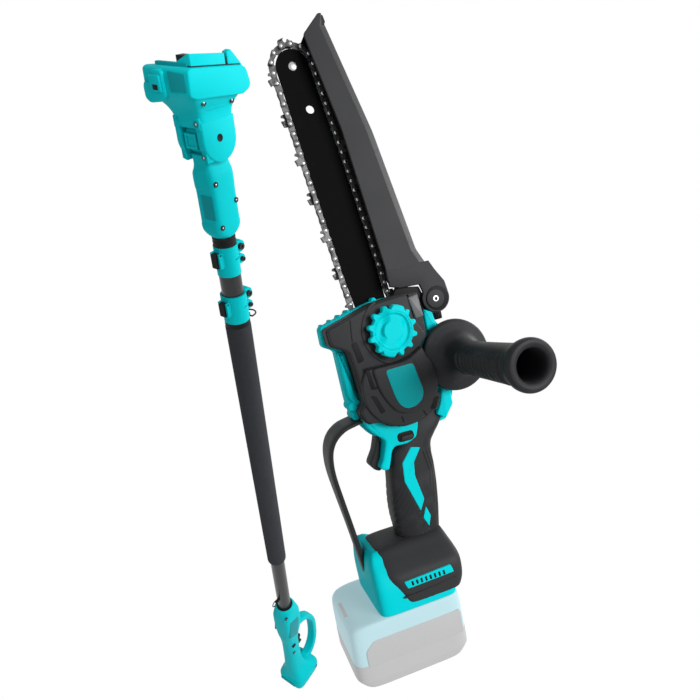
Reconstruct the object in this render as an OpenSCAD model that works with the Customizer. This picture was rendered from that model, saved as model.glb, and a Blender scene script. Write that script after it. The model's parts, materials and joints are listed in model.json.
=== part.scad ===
// Telescoping pole saw: a three-tube pole with a tilting docking head and a battery foot,
// and the compact chainsaw that docks on it. The pole's axis is Z, head up. Z = 0 is where the
// lower hand holds the handle. Millimetres.

/* [Tubes] */
// Outside diameter of the outer tube
outer_d = 33; // [31:0.5:36]
// Wall of every telescoping tube
tube_wall = 1.1; // [0.8:0.1:1.4]
// Radial gap between two telescoping tubes
slide_gap = 0.4; // [0.3:0.05:0.6]
// Outside diameter of the top tube
top_d = 24.6; // [22:0.2:25]
// Outside diameter of the thin tube above the handle
handle_tube_d = 28; // [24:0.5:29]
// Outside diameter of the foam grip
foam_d = 37; // [36.5:0.5:44]
// Length of the foam grip
foam_len = 564; // [300:1:700]
// Height of the foam grip's lower end above the hand
foam_z = 301; // [290:1:360]
// Depth of the reducing bush at the outer tube's lower end
bush_len = 40; // [20:1:80]

/* [Clamps] */
// Height of a tube clamp
clamp_h = 42; // [36:1:60]
// Outside diameter of the upper clamp's barrel
upper_barrel_d = 32; // [31.5:0.5:38]
// Outside diameter of the lower clamp's barrel
lower_barrel_d = 36; // [35.5:0.5:42]
// Diameter of the large clamp bolt
bolt_d = 5; // [4:0.5:6]
// Diameter of the small clamp screw
screw_d = 4; // [3:0.5:5]
// Gap between the two clamps, where the middle tube shows
clamp_gap = 31; // [20:1:60]

/* [Head and neck] */
// Length of the docking head, along the slide
head_len = 92; // [84:1:110]
// Width of the docking head
head_w = 70; // [66:1:84]
// Height of the docking head's box
head_h = 30; // [26:1:40]
// Height of the docking rail above the head's box
rail_h = 13; // [10:1:18]
// Width across the docking rail's lips
rail_w = 52; // [44:1:56]
// Length of the docking rail
rail_len = 42; // [36:1:60]
// Radius of the knuckle's ears
ear_r = 27; // [25:0.5:29]
// Diameter of the knuckle pin
pin_d = 8; // [6:0.5:10]
// Width across the neck, along the slide
neck_x = 42; // [40:1:50]
// Width across the neck, along the pin
neck_y = 34; // [32:1:40]

/* [Handle] */
// Length of the battery foot
foot_len = 100; // [92:1:120]
// Width of the battery foot
foot_w = 70; // [66:1:84]
// Height of the battery foot
foot_h = 42; // [36:1:50]
// Depth of the guard loop, from the pole's axis to its outer side
loop_reach = 88; // [84:1:100]

/* [Bar and chain] */
// Distance from the drive sprocket to the nose sprocket
bar_len = 276; // [240:1:300]
// Width of the guide bar at its middle
bar_w = 30.8; // [28:0.2:32]
// Thickness of the guide bar
bar_t = 3; // [2.6:0.1:3.4]
// Radius of the guide bar's nose
nose_r = 14; // [13:0.5:14.5]
// Distance between two chain rivets
rivet_pitch = 8.25; // [7.5:0.05:9]
// Lean of the bar to the front, in degrees
bar_lean = 7.4; // [5:0.1:9]

/* [Saw body] */
// Front face of the side cover, in front of the bar's plane
cover_front = 34; // [30:1:38]
// Rear face of the motor housing, behind the bar's plane
body_rear = 60; // [56:1:70]
// Thickness of the saw's grip
grip_t = 34; // [30:1:40]
// Length of the side handle
side_len = 120; // [100:1:140]
// Radius of the side handle's tube
side_r = 14; // [13:0.5:16]
// Radius of the side handle's flange
side_flange_r = 31; // [26:0.5:32]
// Width of the battery and of the saw's foot
pack_w = 75; // [70:1:82]
// Length of the battery
pack_len = 100; // [96:1:120]
// Height of the battery below the foot
pack_h = 58; // [50:1:70]

/* [Hidden] */
$fn = 48;

teal = "#00c8cf";
dark = "#3c3c3c";
black = "#1c1c1c";
pale_teal = "#a8d0d6";
pale_grey = "#b7b7b7";
steel = "#c8c8c8";

run_gap = 0.3;                                    // between faces that move past each other
fit_gap = 0.06;                                   // radial, a pin in its bore
cut = 0.01;                                       // overshoot of a cutting solid

// ---- heights along the pole, each from the one below
outer_id = outer_d - 2 * tube_wall;
mid_d = outer_id - 2 * slide_gap;
mid_id = mid_d - 2 * tube_wall;
band_h = 7;
foam_top = foam_z + foam_len;
band_z = foam_top + 0.5;
low_z = band_z + band_h + 0.5;
low_top = low_z + clamp_h;
up_z = low_top + clamp_gap;
up_top = up_z + clamp_h;
ring_h = 13;
ring_z = up_top + run_gap;
neck_z = ring_z + ring_h;
neck_h = 97;
pin_z = neck_z + 124;
head_z = pin_z + 48;
head_top = head_z + head_h;
lip_h = 4;                                        // height of the bay's lips
tongue_t = 25;                                    // between the ears
ear_out = 22;                                     // outer face of an ear, from the axis
grip_len = 60;                                    // depth of a tube in the neck
top_low = foam_z + bush_len + 50;
mid_low = foam_z + bush_len + 20;
wrap = outer_d / 2;

module rrect(w, h, r) {                           // rectangle with round corners, centred
    square([w - 2 * r, h], center = true);
    square([w, h - 2 * r], center = true);
    for (x = [-1, 1], y = [-1, 1]) translate([x * (w / 2 - r), y * (h / 2 - r)]) circle(r);
}

module tube(d, wall, z0, z1) {
    translate([0, 0, z0]) difference() {
        cylinder(d = d, h = z1 - z0);
        translate([0, 0, -cut]) cylinder(d = d - 2 * wall, h = z1 - z0 + 2 * cut);
    }
}

module along_y(y0, y1) {                          // a plan in X and Z, carried from y0 to y1
    translate([0, y1, 0]) rotate([90, 0, 0]) linear_extrude(y1 - y0) children();
}

module bore_y(x, z, d, y0 = -60, y1 = 60) {
    translate([x, y1, z]) rotate([90, 0, 0]) cylinder(d = d, h = y1 - y0);
}

// ================================================= docking head
module head_solid() {
    translate([0, 0, head_z]) linear_extrude(head_h) rrect(head_len, head_w, 6);
    hull() {
        translate([0, 0, head_z - 0.5]) linear_extrude(1) rrect(head_len - 6, head_w - 4, 6);
        translate([0, 0, head_z - 20]) linear_extrude(1) rrect(54, 2 * ear_out, 6);
    }
    hull() {
        translate([0, 0, head_z - 20]) linear_extrude(1) rrect(54, 2 * ear_out, 6);
        bore_y(0, pin_z, 2 * ear_r, -ear_out, ear_out);
    }
    rail_solid();
}

module rail_solid() {
    translate([-12, 0, head_top - cut]) linear_extrude(lip_h + 2 * cut) rrect(rail_len, rail_w - 8, 1);
    translate([-12, 0, head_top + lip_h]) linear_extrude(rail_h - lip_h) rrect(rail_len, rail_w, 2);
    along_y(-rail_w / 2, rail_w / 2)
        polygon([[rail_len / 2 - 8, head_top - cut], [rail_len / 2 - 8, head_top + rail_h],
                 [head_len / 2 - 8, head_top - cut]]);
}

// the bay that takes a rail: the lips below, the wide part above
module rail_bay(length, gap) {
    translate([0, -rail_w / 2 + 4 - gap, -1]) cube([length, rail_w - 8 + 2 * gap, lip_h + 2]);
    translate([0, -rail_w / 2 - gap, lip_h - gap]) cube([length, rail_w + 2 * gap, rail_h - lip_h + 2 * gap]);
}

release_w = 18;
release_y = 13;
module head_cavity() {
    // hollow inside the box, for the contact block and the wires
    translate([0, 0, head_z + 3]) linear_extrude(head_h - 6) rrect(head_len - 26, head_w - 8, 3);
    cylinder(d = 14, h = head_z + 4);
    // slot between the ears for the neck's tongue
    bore_y(0, pin_z, 2 * ear_r + 2, -tongue_t / 2 - run_gap, tongue_t / 2 + run_gap);
    translate([-40, -tongue_t / 2 - run_gap, pin_z - 40]) cube([80, tongue_t + 2 * run_gap, 40]);
    bore_y(0, pin_z, pin_d + 2 * fit_gap);
    // pocket of the release button, and the recess beside it
    translate([-head_len / 2 - 1, release_y - release_w / 2 - run_gap, head_z + 6])
        cube([14, release_w + 2 * run_gap, head_h - 12]);
    translate([-head_len / 2 - 1, -26, head_z + 8]) cube([9, 24, head_h]);
    contact_pocket();
}

contact_w = 30;
module contact_pocket() {
    translate([-10, 0, head_top - 4]) linear_extrude(rail_h + 5) square([16, contact_w], center = true);
}

head_screw_at = [[-34, head_z + 1], [10, head_z - 12], [34, head_z + 4]];
neck_screw_at = [[-16, neck_z + 72], [-16, neck_z + 22], [16, neck_z + 46]];
pan_d = 6;
module head_half(front) {
    color(teal) difference() {
        intersection() {
            head_solid();
            translate([-100, front ? -100 : 0, 0]) cube([200, 100, 2000]);
        }
        head_cavity();
        for (p = head_screw_at) {
            bore_y(p[0], p[1], 3, -30, 7.5);
            if (front) bore_y(p[0], p[1], pan_d + 0.4, -60, -16);
        }
        bore_y(0, pin_z, pin_d + 8, front ? -60 : ear_out - 3, front ? -ear_out + 3 : 60);
    }
}
module head_shell_front() { head_half(true); }
module head_shell_rear() { head_half(false); }

module head_contact_block() {
    color(black) difference() {
        translate([-10, 0, head_top - 4]) linear_extrude(rail_h) square([15.4, contact_w - 0.6], center = true);
        for (y = [-9, -3, 3, 9]) translate([-30, y - 0.5, head_top + 2]) cube([40, 1, rail_h]);
    }
}

module head_release_button() {
    color(teal) translate([-head_len / 2 - 2, release_y - release_w / 2, head_z + 6 + run_gap]) difference() {
        cube([10, release_w, head_h - 12 - 2 * run_gap]);
        translate([-1, 4, 3]) cube([3, 8, 4]);
    }
}

module head_screws() {
    shell_screws(head_screw_at, 16);
}

// screws that hold two half shells: a pan head in front and its shank in the rear half
module shell_screws(list, seat) {
    color(black) for (p = list) translate([p[0], 0, p[1]]) rotate([90, 0, 0]) difference() {
        union() {
            translate([0, 0, seat]) cylinder(d = pan_d, h = 3);
            translate([0, 0, -7]) cylinder(d = 2.9, h = seat + 7.1);
        }
        translate([0, 0, seat + 1.4]) cylinder(d = 2.4, h = 2);
    }
}

// ================================================= knuckle and neck
module knuckle_pin() {
    color(steel) difference() {
        union() {
            bore_y(0, pin_z, pin_d, -ear_out + 2, ear_out - 2);
            for (s = [-1, 1]) bore_y(0, pin_z, pin_d + 6, min(s * ear_out - s * 3, s * ear_out - s * 0.6),
                                     max(s * ear_out - s * 3, s * ear_out - s * 0.6));
        }
        for (s = [-1, 1]) translate([0, s * ear_out, pin_z]) rotate([90, 0, 0])
            cylinder(d = 4, h = 5, center = true);
    }
}

lock_w = 18;
lock_out = ear_r - 1;
module knuckle_lock_button() {
    color(teal) difference() {
        translate([-lock_out, -lock_w / 2, pin_z - 9]) cube([9, lock_w, 17]);
        translate([-lock_out - 1, -lock_w / 2 + 3, pin_z - 6]) cube([2.4, lock_w - 6, 11]);
    }
}

module neck_solid() {
    translate([0, 0, neck_z + 14]) linear_extrude(neck_h - 30) rrect(neck_x, neck_y, 9);
    hull() {
        translate([0, 0, neck_z + 13.5]) linear_extrude(1) rrect(neck_x, neck_y, 9);
        translate([0, 0, neck_z]) cylinder(d = 31, h = 1);
    }
    hull() {
        translate([0, 0, neck_z + neck_h - 17]) linear_extrude(1) rrect(neck_x, neck_y, 9);
        translate([0, 0, neck_z + neck_h - 4]) linear_extrude(1) rrect(neck_x - 8, tongue_t, 6);
    }
    hull() {
        translate([0, 0, neck_z + neck_h - 5]) linear_extrude(1) rrect(neck_x - 8, tongue_t, 6);
        bore_y(0, pin_z, 2 * ear_r - 10, -tongue_t / 2, tongue_t / 2);
    }
}

module neck_half(front) {
    color(teal) difference() {
        intersection() {
            neck_solid();
            translate([-100, front ? -100 : 0, 0]) cube([200, 100, 2000]);
        }
        translate([0, 0, neck_z - 1]) cylinder(d = top_d, h = grip_len + 1);
        translate([0, 0, neck_z]) cylinder(d = 10, h = neck_h);
        bore_y(0, pin_z, pin_d + 2 * fit_gap);
        // pocket of the lock button
        translate([-ear_r - 2, -lock_w / 2 - run_gap, pin_z - 9 - run_gap])
            cube([15, lock_w + 2 * run_gap, 17 + 2 * run_gap]);
        // sunk panel on the side
        translate([-9, front ? -neck_y / 2 - 1 : neck_y / 2 - 1.5, neck_z + 34]) cube([18, 2.5, 28]);
        for (p = neck_screw_at) {
            bore_y(p[0], p[1], 3, -30, 7.5);
            if (front) bore_y(p[0], p[1], pan_d + 0.4, -60, -12);
        }
    }
}
module neck_shell_front() { neck_half(true); }
module neck_shell_rear() { neck_half(false); }
module neck_screws() { shell_screws(neck_screw_at, 12); }

module neck_seal_ring() {
    color(black) translate([0, 0, ring_z]) rotate_extrude() {
        difference() {
            translate([top_d / 2, 0]) square([30.5 / 2 - top_d / 2, ring_h]);
            for (z = [3.5, 8]) translate([15.6, z]) circle(1.5, $fn = 16);
        }
    }
}

// ================================================= telescoping tubes and clamps
module top_tube() { color(dark) tube(top_d, tube_wall, top_low, neck_z + grip_len - 1); }
module middle_tube() { color(dark) tube(mid_d, tube_wall, mid_low, up_z); }
module outer_tube() { color(dark) tube(outer_d, tube_wall, foam_z + 2, low_z + clamp_h / 2); }

lever_w = 9.8;
ear_x = 9;                                        // how far a clamp's ears stand out
module clamp_body(barrel, bore, z) {
    // barrel with two ears, slit between them, and a seat for the lever behind
    rb = barrel / 2;
    difference() {
        union() {
            translate([0, 0, z]) cylinder(d = barrel, h = clamp_h);
            translate([0, 0, z + clamp_h - 17]) clamp_ear(rb, 17, bolt_d);
            translate([0, 0, z + 9]) clamp_ear(rb, 13, screw_d);
            translate([-rb - 5, -8, z + clamp_h - 27]) cube([8, 16, 21.4]);
        }
        translate([0, 0, z - 1]) cylinder(d = bore, h = clamp_h + 2);
        translate([0, -0.6, z + 7]) cube([rb + ear_x + 6, 1.2, clamp_h]);
        translate([0, -rb, z + clamp_h - 19.6]) cube([rb + ear_x + 6, barrel, 1.6]);
        translate([rb + 3, 0, z + clamp_h - 8.5]) rotate([90, 0, 0]) cylinder(d = bolt_d, h = 60, center = true);
        translate([rb + 3, 0, z + 15.5]) rotate([90, 0, 0]) cylinder(d = screw_d, h = 60, center = true);
        translate([-rb - 6, -lever_w / 2 - run_gap, z + clamp_h - 28]) cube([6.2, lever_w + 2 * run_gap, 26]);
        translate([-rb - 2, 0, z + clamp_h - 8]) rotate([90, 0, 0]) cylinder(d = 3 + 2 * fit_gap, h = 17, center = true);
    }
}

module clamp_ear(rb, h, d) {
    translate([0, -8, 0]) cube([rb + 3, 16, h]);
    translate([rb + 3, 0, h / 2]) rotate([90, 0, 0]) cylinder(d = h, h = 16, center = true);
}

module clamp_bolts(barrel, z) {
    rb = barrel / 2;
    color(black) for (b = [[clamp_h - 8.5, bolt_d, 9], [15.5, screw_d, 6.4]])
        translate([rb + 3, 0, z + b[0]]) rotate([90, 0, 0]) difference() {
            union() {
                cylinder(d = b[1], h = 21, center = true);
                translate([0, 0, 8]) cylinder(d = b[2], h = 4);
                mirror([0, 0, 1]) translate([0, 0, 8]) cylinder(d = b[2], h = 3, $fn = 6);
            }
            translate([0, 0, 9.5]) cylinder(d = b[1] * 0.7, h = 4, $fn = 6);
        }
}

module clamp_lever(barrel, z) {
    rb = barrel / 2;
    color(black) {
        translate([-rb - 2, 0, z + clamp_h - 8]) rotate([90, 0, 0]) cylinder(d = 3, h = 15.6, center = true);
        translate([-rb - 7.6, -lever_w / 2, z + clamp_h - 26]) cube([7.2, lever_w, 19.4]);
    }
}

module upper_clamp() {
    color(teal) {
        clamp_body(upper_barrel_d, top_d + 2 * run_gap, up_z);
        tube(mid_id, (mid_id - top_d) / 2 - run_gap, up_z - 14, up_z + 1);
    }
}
module upper_clamp_bolts() { clamp_bolts(upper_barrel_d, up_z); }
module upper_clamp_lever() { clamp_lever(upper_barrel_d, up_z); }

module lower_clamp() {
    color(teal) difference() {
        clamp_body(lower_barrel_d, mid_d + 2 * run_gap, low_z);
        translate([0, 0, low_z - 1]) cylinder(d = outer_d, h = clamp_h / 2 + 1);
    }
}
module lower_clamp_bolts() { clamp_bolts(lower_barrel_d, low_z); }
module lower_clamp_lever() { clamp_lever(lower_barrel_d, low_z); }

ring_wire = 2.4;
module strap_band() {
    color(black) difference() {
        union() {
            translate([0, 0, band_z]) cylinder(d = outer_d + 3, h = band_h);
            translate([wrap, -4, band_z]) cube([6.5, 8, band_h]);
        }
        translate([0, 0, band_z - 1]) cylinder(d = outer_d, h = band_h + 2);
        bore_y(wrap + 4, band_z + band_h / 2, ring_wire + 2 * fit_gap);
    }
}

ring_r = 10;
module strap_ring() {
    // D-shaped wire loop through the band's lug: straight leg in the lug, bow outside
    color(black) {
        bore_y(wrap + 4, band_z + band_h / 2, ring_wire, -ring_r, ring_r);
        for (s = [-1, 1]) translate([wrap + 4, s * ring_r, band_z + band_h / 2]) {
            sphere(d = ring_wire, $fn = 24);
            rotate([0, 90, 0]) cylinder(d = ring_wire, h = 4);
        }
        translate([wrap + 8, 0, band_z + band_h / 2]) rotate([0, 0, -90])
            rotate_extrude(angle = 180) translate([ring_r, 0]) circle(d = ring_wire, $fn = 24);
    }
}

module foam_grip() {
    color(dark) rotate_extrude()
        polygon([[wrap, foam_z], [foam_d / 2 - 1.2, foam_z], [foam_d / 2 - 0.3, foam_z + 2], [foam_d / 2, foam_z + 5],
                 [foam_d / 2, foam_top - 2], [foam_d / 2 - 0.8, foam_top], [wrap, foam_top]]);
}

module reducing_bush() {
    color(black) difference() {
        union() {
            translate([0, 0, foam_z + 2]) cylinder(d = outer_id, h = bush_len);
            translate([0, 0, foam_z - 1]) cylinder(d = outer_d, h = 3);
        }
        translate([0, 0, foam_z - 2]) cylinder(d = handle_tube_d, h = bush_len + 5);
    }
}

// ================================================= lower handle
collar_z = 158;
body_x = 54;
body_y = 44;
module handle_tube() { color(dark) tube(handle_tube_d, 1.3, 84, foam_z + bush_len); }

small_ring_r = 7;
lug_x = -(handle_tube_d / 2 + 5.5);
lug_z = collar_z + 15;
module lower_strap_ring() {
    color(black) {
        translate([lug_x - small_ring_r, 0, lug_z]) rotate([90, 0, 0])
            rotate_extrude() translate([small_ring_r, 0]) circle(d = 2, $fn = 20);
    }
}

module handle_collar() {
    color(black) difference() {
        union() {
            translate([0, 0, collar_z]) cylinder(d = handle_tube_d + 9, h = 6);
            translate([0, 0, collar_z + 6]) cylinder(d1 = handle_tube_d + 9, d2 = handle_tube_d + 4, h = 20);
            translate([lug_x - 3, -3, lug_z - 1.5]) cube([8, 6, 3]);
        }
        translate([0, 0, collar_z - 1]) cylinder(d = handle_tube_d, h = 40);
        translate([lug_x, 0, lug_z - 5]) cylinder(d = 2 + 3 * run_gap, h = 10);
    }
}

foot_z = -190;
foot_top = foot_z + foot_h;
foot_x = 6;
loop_w = 22;
module loop_plan() {                               // the guard loop, seen from the side
    offset(r = 4) offset(delta = -4) polygon([[18, 31], [54, 19], [76, -2], [loop_reach, -52], [loop_reach, -108],
        [loop_reach - 7, -152], [58, -176], [30, -176], [30, -160], [50, -158], [loop_reach - 22, -143],
        [loop_reach - 17, -104], [loop_reach - 17, -56], [64, -18], [46, 3], [14, 10]]);
}

module handle_solid() {
    hull() {                                       // housing around the tube
        translate([0, 0, collar_z - 12]) cylinder(d = body_y, h = 12);
        translate([1, 0, 45]) linear_extrude(60) rrect(body_x, body_y, 12);
    }
    hull() {                                       // grip behind the trigger
        translate([0, 0, 40]) linear_extrude(8) rrect(body_x - 4, body_y - 2, 14);
        translate([-2, 0, -20]) linear_extrude(8) rrect(38, 34, 14);
    }
    hull() {
        translate([-2, 0, -20]) linear_extrude(8) rrect(38, 34, 14);
        translate([-2, 0, foot_top]) linear_extrude(8) rrect(44, 44, 14);
    }
    along_y(-loop_w / 2 + 2.5, loop_w / 2 - 2.5) loop_plan();
    along_y(-loop_w / 2, loop_w / 2) offset(delta = -2.5) loop_plan();
    hull() {                                       // battery foot
        translate([foot_x, 0, foot_z]) linear_extrude(foot_h - 14) rrect(foot_len, foot_w, 10);
        translate([foot_x, 0, foot_top - 4]) linear_extrude(4) rrect(foot_len - 34, foot_w - 24, 10);
    }
}

trig_z = -48;
handle_screw_at = [[-16.5, 128], [16, 60], [-13, 10], [-14, -120], [-38, -166], [61, -1]];
module handle_cavity() {
    translate([0, 0, 60]) cylinder(d = handle_tube_d, h = 120);
    translate([0, 0, -20]) cylinder(d = 16, h = 82);
    translate([-2, 0, foot_top - 20]) cylinder(d = 16, h = 150);
    translate([foot_x + 6, 0, foot_z + 10]) linear_extrude(15) square([30, 36], center = true);
    // trigger slot
    translate([2, -6.3, trig_z - 16]) cube([40, 12.6, 32]);
    // lock button, through the front side
    bore_y(-8, -14, 10 + 2 * run_gap, -60, 0);
    // battery bay, open to the front and below
    translate([foot_x - foot_len / 2 - 1, 0, foot_z]) rail_bay(foot_len - 7, run_gap);
    // shallow panel on each side, where a label would sit
    for (s = [-1, 1]) translate([2, s * (body_y / 2 + 0.2), 75]) cube([26, 2.4, 56], center = true);
}

module handle_half(front) {
    color(teal) difference() {
        intersection() {
            handle_solid();
            translate([-100, front ? -100 : 0, -300]) cube([300, 100, 600]);
        }
        handle_cavity();
        for (p = handle_screw_at) {
            bore_y(p[0], p[1], 3, -30, 7.5);
            if (front) bore_y(p[0], p[1], pan_d + 0.4, -60, -8);
        }
    }
}
module handle_shell_front() { handle_half(true); }
module handle_shell_rear() { handle_half(false); }

module handle_screws() { shell_screws(handle_screw_at, 8); }

module handle_trigger() {
    color(black) difference() {
        translate([13, -6, trig_z - 14]) cube([17, 12, 28]);
        translate([33.5, 0, trig_z]) rotate([90, 0, 0]) cylinder(r = 9, h = 20, center = true);
    }
}

module handle_lock_button() { color(black) bore_y(-8, -14, 10, -19, -6); }

module handle_terminals() {
    color(black) difference() {
        translate([foot_x + 6, 0, foot_z + 15]) linear_extrude(10) square([30, 36], center = true);
        for (y = [-12, -4, 4, 12]) translate([-20, y - 0.6, foot_z + 14.9]) cube([60, 1.2, 5]);
    }
}

// curled lead inside the tubes, as the envelope of its curl
module curled_lead() {
    color(black) {
        translate([0, 0, 60]) cylinder(d = 24, h = 6);
        translate([0, 0, 65]) cylinder(d = 7, h = top_low - 64);
        translate([0, 0, top_low]) cylinder(d = 16, h = 260);
        translate([0, 0, top_low + 259]) cylinder(d = 7, h = neck_z - top_low - 252);
    }
}

// ================================================= the saw, in its own frame
// Its origin is the drive sprocket's centre. X runs to the rear, Y away from the cover, Z up from the foot.
saw_at = [-128, -326, 984];
saw_turn = [-30.2, -0.7, -37.7];
module in_pole_frame() { translate(saw_at) rotate(saw_turn) children(); }
module on_bar() { rotate([0, -bar_lean, 0]) children(); }

stud_z = 45;
stud_d = 8;
guard_at = [46.5, 63];
guard_pin_d = 8;
side_at = [51.5, 10.5];
side_y = -20;
housing_front_y = -10;
split_y = 8;
motor_r = 24;
shaft_d = 8;

module housing_plan() {
    polygon([[-60, 57], [-60, 41], [-51, 36], [-51, -8], [-47, -24], [-33, -46], [-24, -52], [-24, -79],
             [-10, -80], [16, -80], [24, -56], [38, -46], [50, -26], [56, -6], [56, 40], [44, 50], [26, 70], [-11, 72], [-34, 65]]);
    translate(guard_at) circle(11.5);
}

frame_y = 17;
module frame_plan() {                              // trigger frame, proud of the housing
    polygon([[-40, -40], [-24, -52], [-24, -79], [-14, -79], [-12, -62], [-4, -56], [10, -52], [14, -40], [-8, -44]]);
}

module grip_plan() {                               // the core inside the rubber
    polygon([[-18, -50], [-19, -82], [-22, -113], [-21, -150], [-21, -165], [8, -165], [9, -150],
             [13, -125], [15, -95], [18, -60]]);
}

chain_r = 24;                                      // room for the chain round the sprocket
module housing_solid(y0, y1) {
    along_y(y0, y1) housing_plan();
}

module chain_room() {                              // the chain's bay in front of the bulkhead
    along_y(housing_front_y - 1, 5.5) {
        circle(chain_r + 3);
        rotate(bar_lean) translate([-bar_w / 2 - 10, -2]) square([bar_w + 20, 120]);
    }
}

module housing_front() {
    color(teal) in_pole_frame() difference() {
        union() {
            housing_solid(housing_front_y, split_y);
            along_y(-frame_y, housing_front_y + 1) frame_plan();
            along_y(-grip_t / 2 + 4, split_y) grip_plan();
            foot_base(-pack_w / 2, split_y);
            // boss of the side handle
            bore_y(side_at[0], side_at[1], 30, side_y, housing_front_y + 1);
        }
        chain_room();
        bore_y(0, 0, shaft_d + 2 * fit_gap, 5, 60);
        on_bar() bore_y(0, stud_z, stud_d, -20, 60);
        bore_y(guard_at[0], guard_at[1], guard_pin_d, -12, 6);
        bore_y(side_at[0], side_at[1], stud_d, -30, 8);
        trigger_room();
        foot_bay();
        oil_room();
    }
}

module housing_rear() {
    color(teal) in_pole_frame() difference() {
        union() {
            housing_solid(split_y, body_rear - 12);
            bore_y(0, 0, 2 * motor_r + 12, body_rear - 14, body_rear);
            along_y(split_y, grip_t / 2 - 4) grip_plan();
            foot_base(split_y, pack_w / 2);
        }
        bore_y(0, 0, 2 * motor_r, split_y - 1, body_rear - 4);
        for (i = [0 : 7]) rotate([0, i * 45, 0]) translate([9, body_rear - 5, -2]) cube([16, 8, 4]);
        on_bar() bore_y(0, stud_z, stud_d, -20, 14);
        foot_bay();
        oil_room();
    }
}

foot_low = -192;
foot_high = -150;
module foot_base(y0, y1) {
    intersection() {
        union() {
            hull() {
                translate([-27, 0, foot_low]) linear_extrude(20) rrect(70, pack_w, 8);
                translate([-27, 0, foot_high - 8]) linear_extrude(2) rrect(60, pack_w - 31, 8);
            }
            translate([-57.5, 0, foot_low + 12]) linear_extrude(38) rrect(9, pack_w - 31, 4);
        }
        translate([-100, y0, foot_low - 5]) cube([200, y1 - y0, 60]);
    }
}

module foot_bay() {                                // rails that take the battery or the pole's head
    translate([-80, 0, foot_low]) rail_bay(83, run_gap);
}

module trigger_room() {
    translate([-45, -6.3, -76]) cube([42, 12.6, 33]);
    translate([-14, -22, -52]) cube([17, 12.4, 7.6]);
}

cap_at = [49, 5];
module oil_room() {
    translate([cap_at[0], cap_at[1], 30]) cylinder(d = 12 + 2 * fit_gap, h = 20);
    translate([cap_at[0], cap_at[1], 42]) cylinder(d = 18, h = 9);
}

module guide_bar() {
    color(black) in_pole_frame() on_bar() difference() {
        union() {
            bore_y(0, bar_len, 2 * nose_r, -bar_t / 2, bar_t / 2);
            along_y(-bar_t / 2, bar_t / 2) polygon([[-bar_w / 2 + 3, 27], [-bar_w / 2, 100], [-bar_w / 2 + 0.2, 190], [0.2 - nose_r, bar_len + 1.5],
                     [nose_r - 0.2, bar_len + 1.5], [bar_w / 2 - 0.2, 190], [bar_w / 2, 100], [bar_w / 2 - 3, 27]]);
        }
        bore_y(0, stud_z, stud_d + 2 * fit_gap);
        translate([-stud_d / 2, -5, stud_z - 12]) cube([stud_d, 10, 12.5]);
        bore_y(3, bar_len - 36, 7.4);
        bore_y(0, bar_len, 2 * 9.6, -0.8, 0.8);
        bore_y(0, bar_len, 6);
    }
}

module nose_sprocket() {
    color(steel) in_pole_frame() on_bar() translate([0, 0, bar_len]) {
        bore_y(0, 0, 6 - 2 * fit_gap, -bar_t / 2, bar_t / 2);
        bore_y(0, 0, 18, -0.5, 0.5);
    }
}

// ---- the chain's loop: straight runs tangent to both sprockets
teeth = 7;
drive_r = teeth * rivet_pitch / PI;                // radius of the chain's rivet line at the drive sprocket
nose_line = nose_r + 3.4;
run_a = asin((nose_line - drive_r) / bar_len);
run_len = bar_len * cos(run_a);
arc_nose = nose_line * (180 + 2 * run_a) * PI / 180;
arc_drive = drive_r * (180 - 2 * run_a) * PI / 180;
loop_len = 2 * run_len + arc_nose + arc_drive;
links = 2 * round(loop_len / rivet_pitch / 2);
link_pitch = loop_len / links;

// place on the loop, and heading, at a length s from the front run's lower end; each as [x, z, degrees]
function loop_at(s) =
    s < run_len ? [-drive_r * cos(run_a) - s * sin(run_a), drive_r * sin(run_a) * -1 + s * cos(run_a), 90 + run_a] :
    s < run_len + arc_nose ? let (t = (s - run_len) / nose_line * 180 / PI, g = 180 + run_a - t)
        [nose_line * cos(g), bar_len + nose_line * sin(g), g - 90] :
    s < 2 * run_len + arc_nose ? let (u = s - run_len - arc_nose)
        [nose_line * cos(run_a) + u * -sin(run_a) * 1, bar_len - nose_line * sin(run_a) - u * cos(run_a), -90 - run_a] :
    let (t = (s - 2 * run_len - arc_nose) / drive_r * 180 / PI, g = -run_a - t)
        [drive_r * cos(g), drive_r * sin(g), g - 90];

module link_plate(l, h, t) {                       // flat plate along X with round ends
    along_y(-t / 2, t / 2) {
        square([l, h], center = true);
        for (s = [-1, 1]) translate([s * l / 2, 0]) circle(h / 2, $fn = 16);
    }
}

module chain_straps() {
    // every link's body and rivets; the drive links' tangs stay clear of the bar's groove
    color(steel) in_pole_frame() on_bar() for (i = [0 : links - 1]) {
        p = loop_at((i + 0.5) * link_pitch);
        translate([p[0], 0, p[1]]) rotate([0, -p[2], 0]) {
            if (i % 2 == 0) for (y = [-1.7, 1.7]) translate([0, y, 0]) link_plate(link_pitch * 0.92, 4.8, 1);
            else link_plate(link_pitch * 0.94, 4.6, 2.2);
        }
    }
}

module chain_cutters() {
    color(steel) in_pole_frame() on_bar() for (i = [0 : 4 : links - 1]) {
        p = loop_at((i + 0.5) * link_pitch);
        translate([p[0], 0, p[1]]) rotate([0, -p[2], 0])
            translate([0, (i % 8 == 0) ? -1 : 1, 0]) along_y(-1.6, 1.6)
                polygon([[-5, 2.9], [-5, 5.2], [-0.5, 6.4], [0, 3.2], [2, 3.2], [2.4, 5], [4.4, 5.4], [5, 2.9]]);
    }
}

module cover_plan() {
    polygon([[-58, 57], [-37, 63], [-11, 72], [14, 74], [25, 72], [27, 52], [29, 34], [28, 10], [20, -24], [-8, -30],
             [-40, -24], [-44, 0], [-46, 36], [-58, 41]]);
    translate([-8, -6]) circle(36);
}

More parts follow.
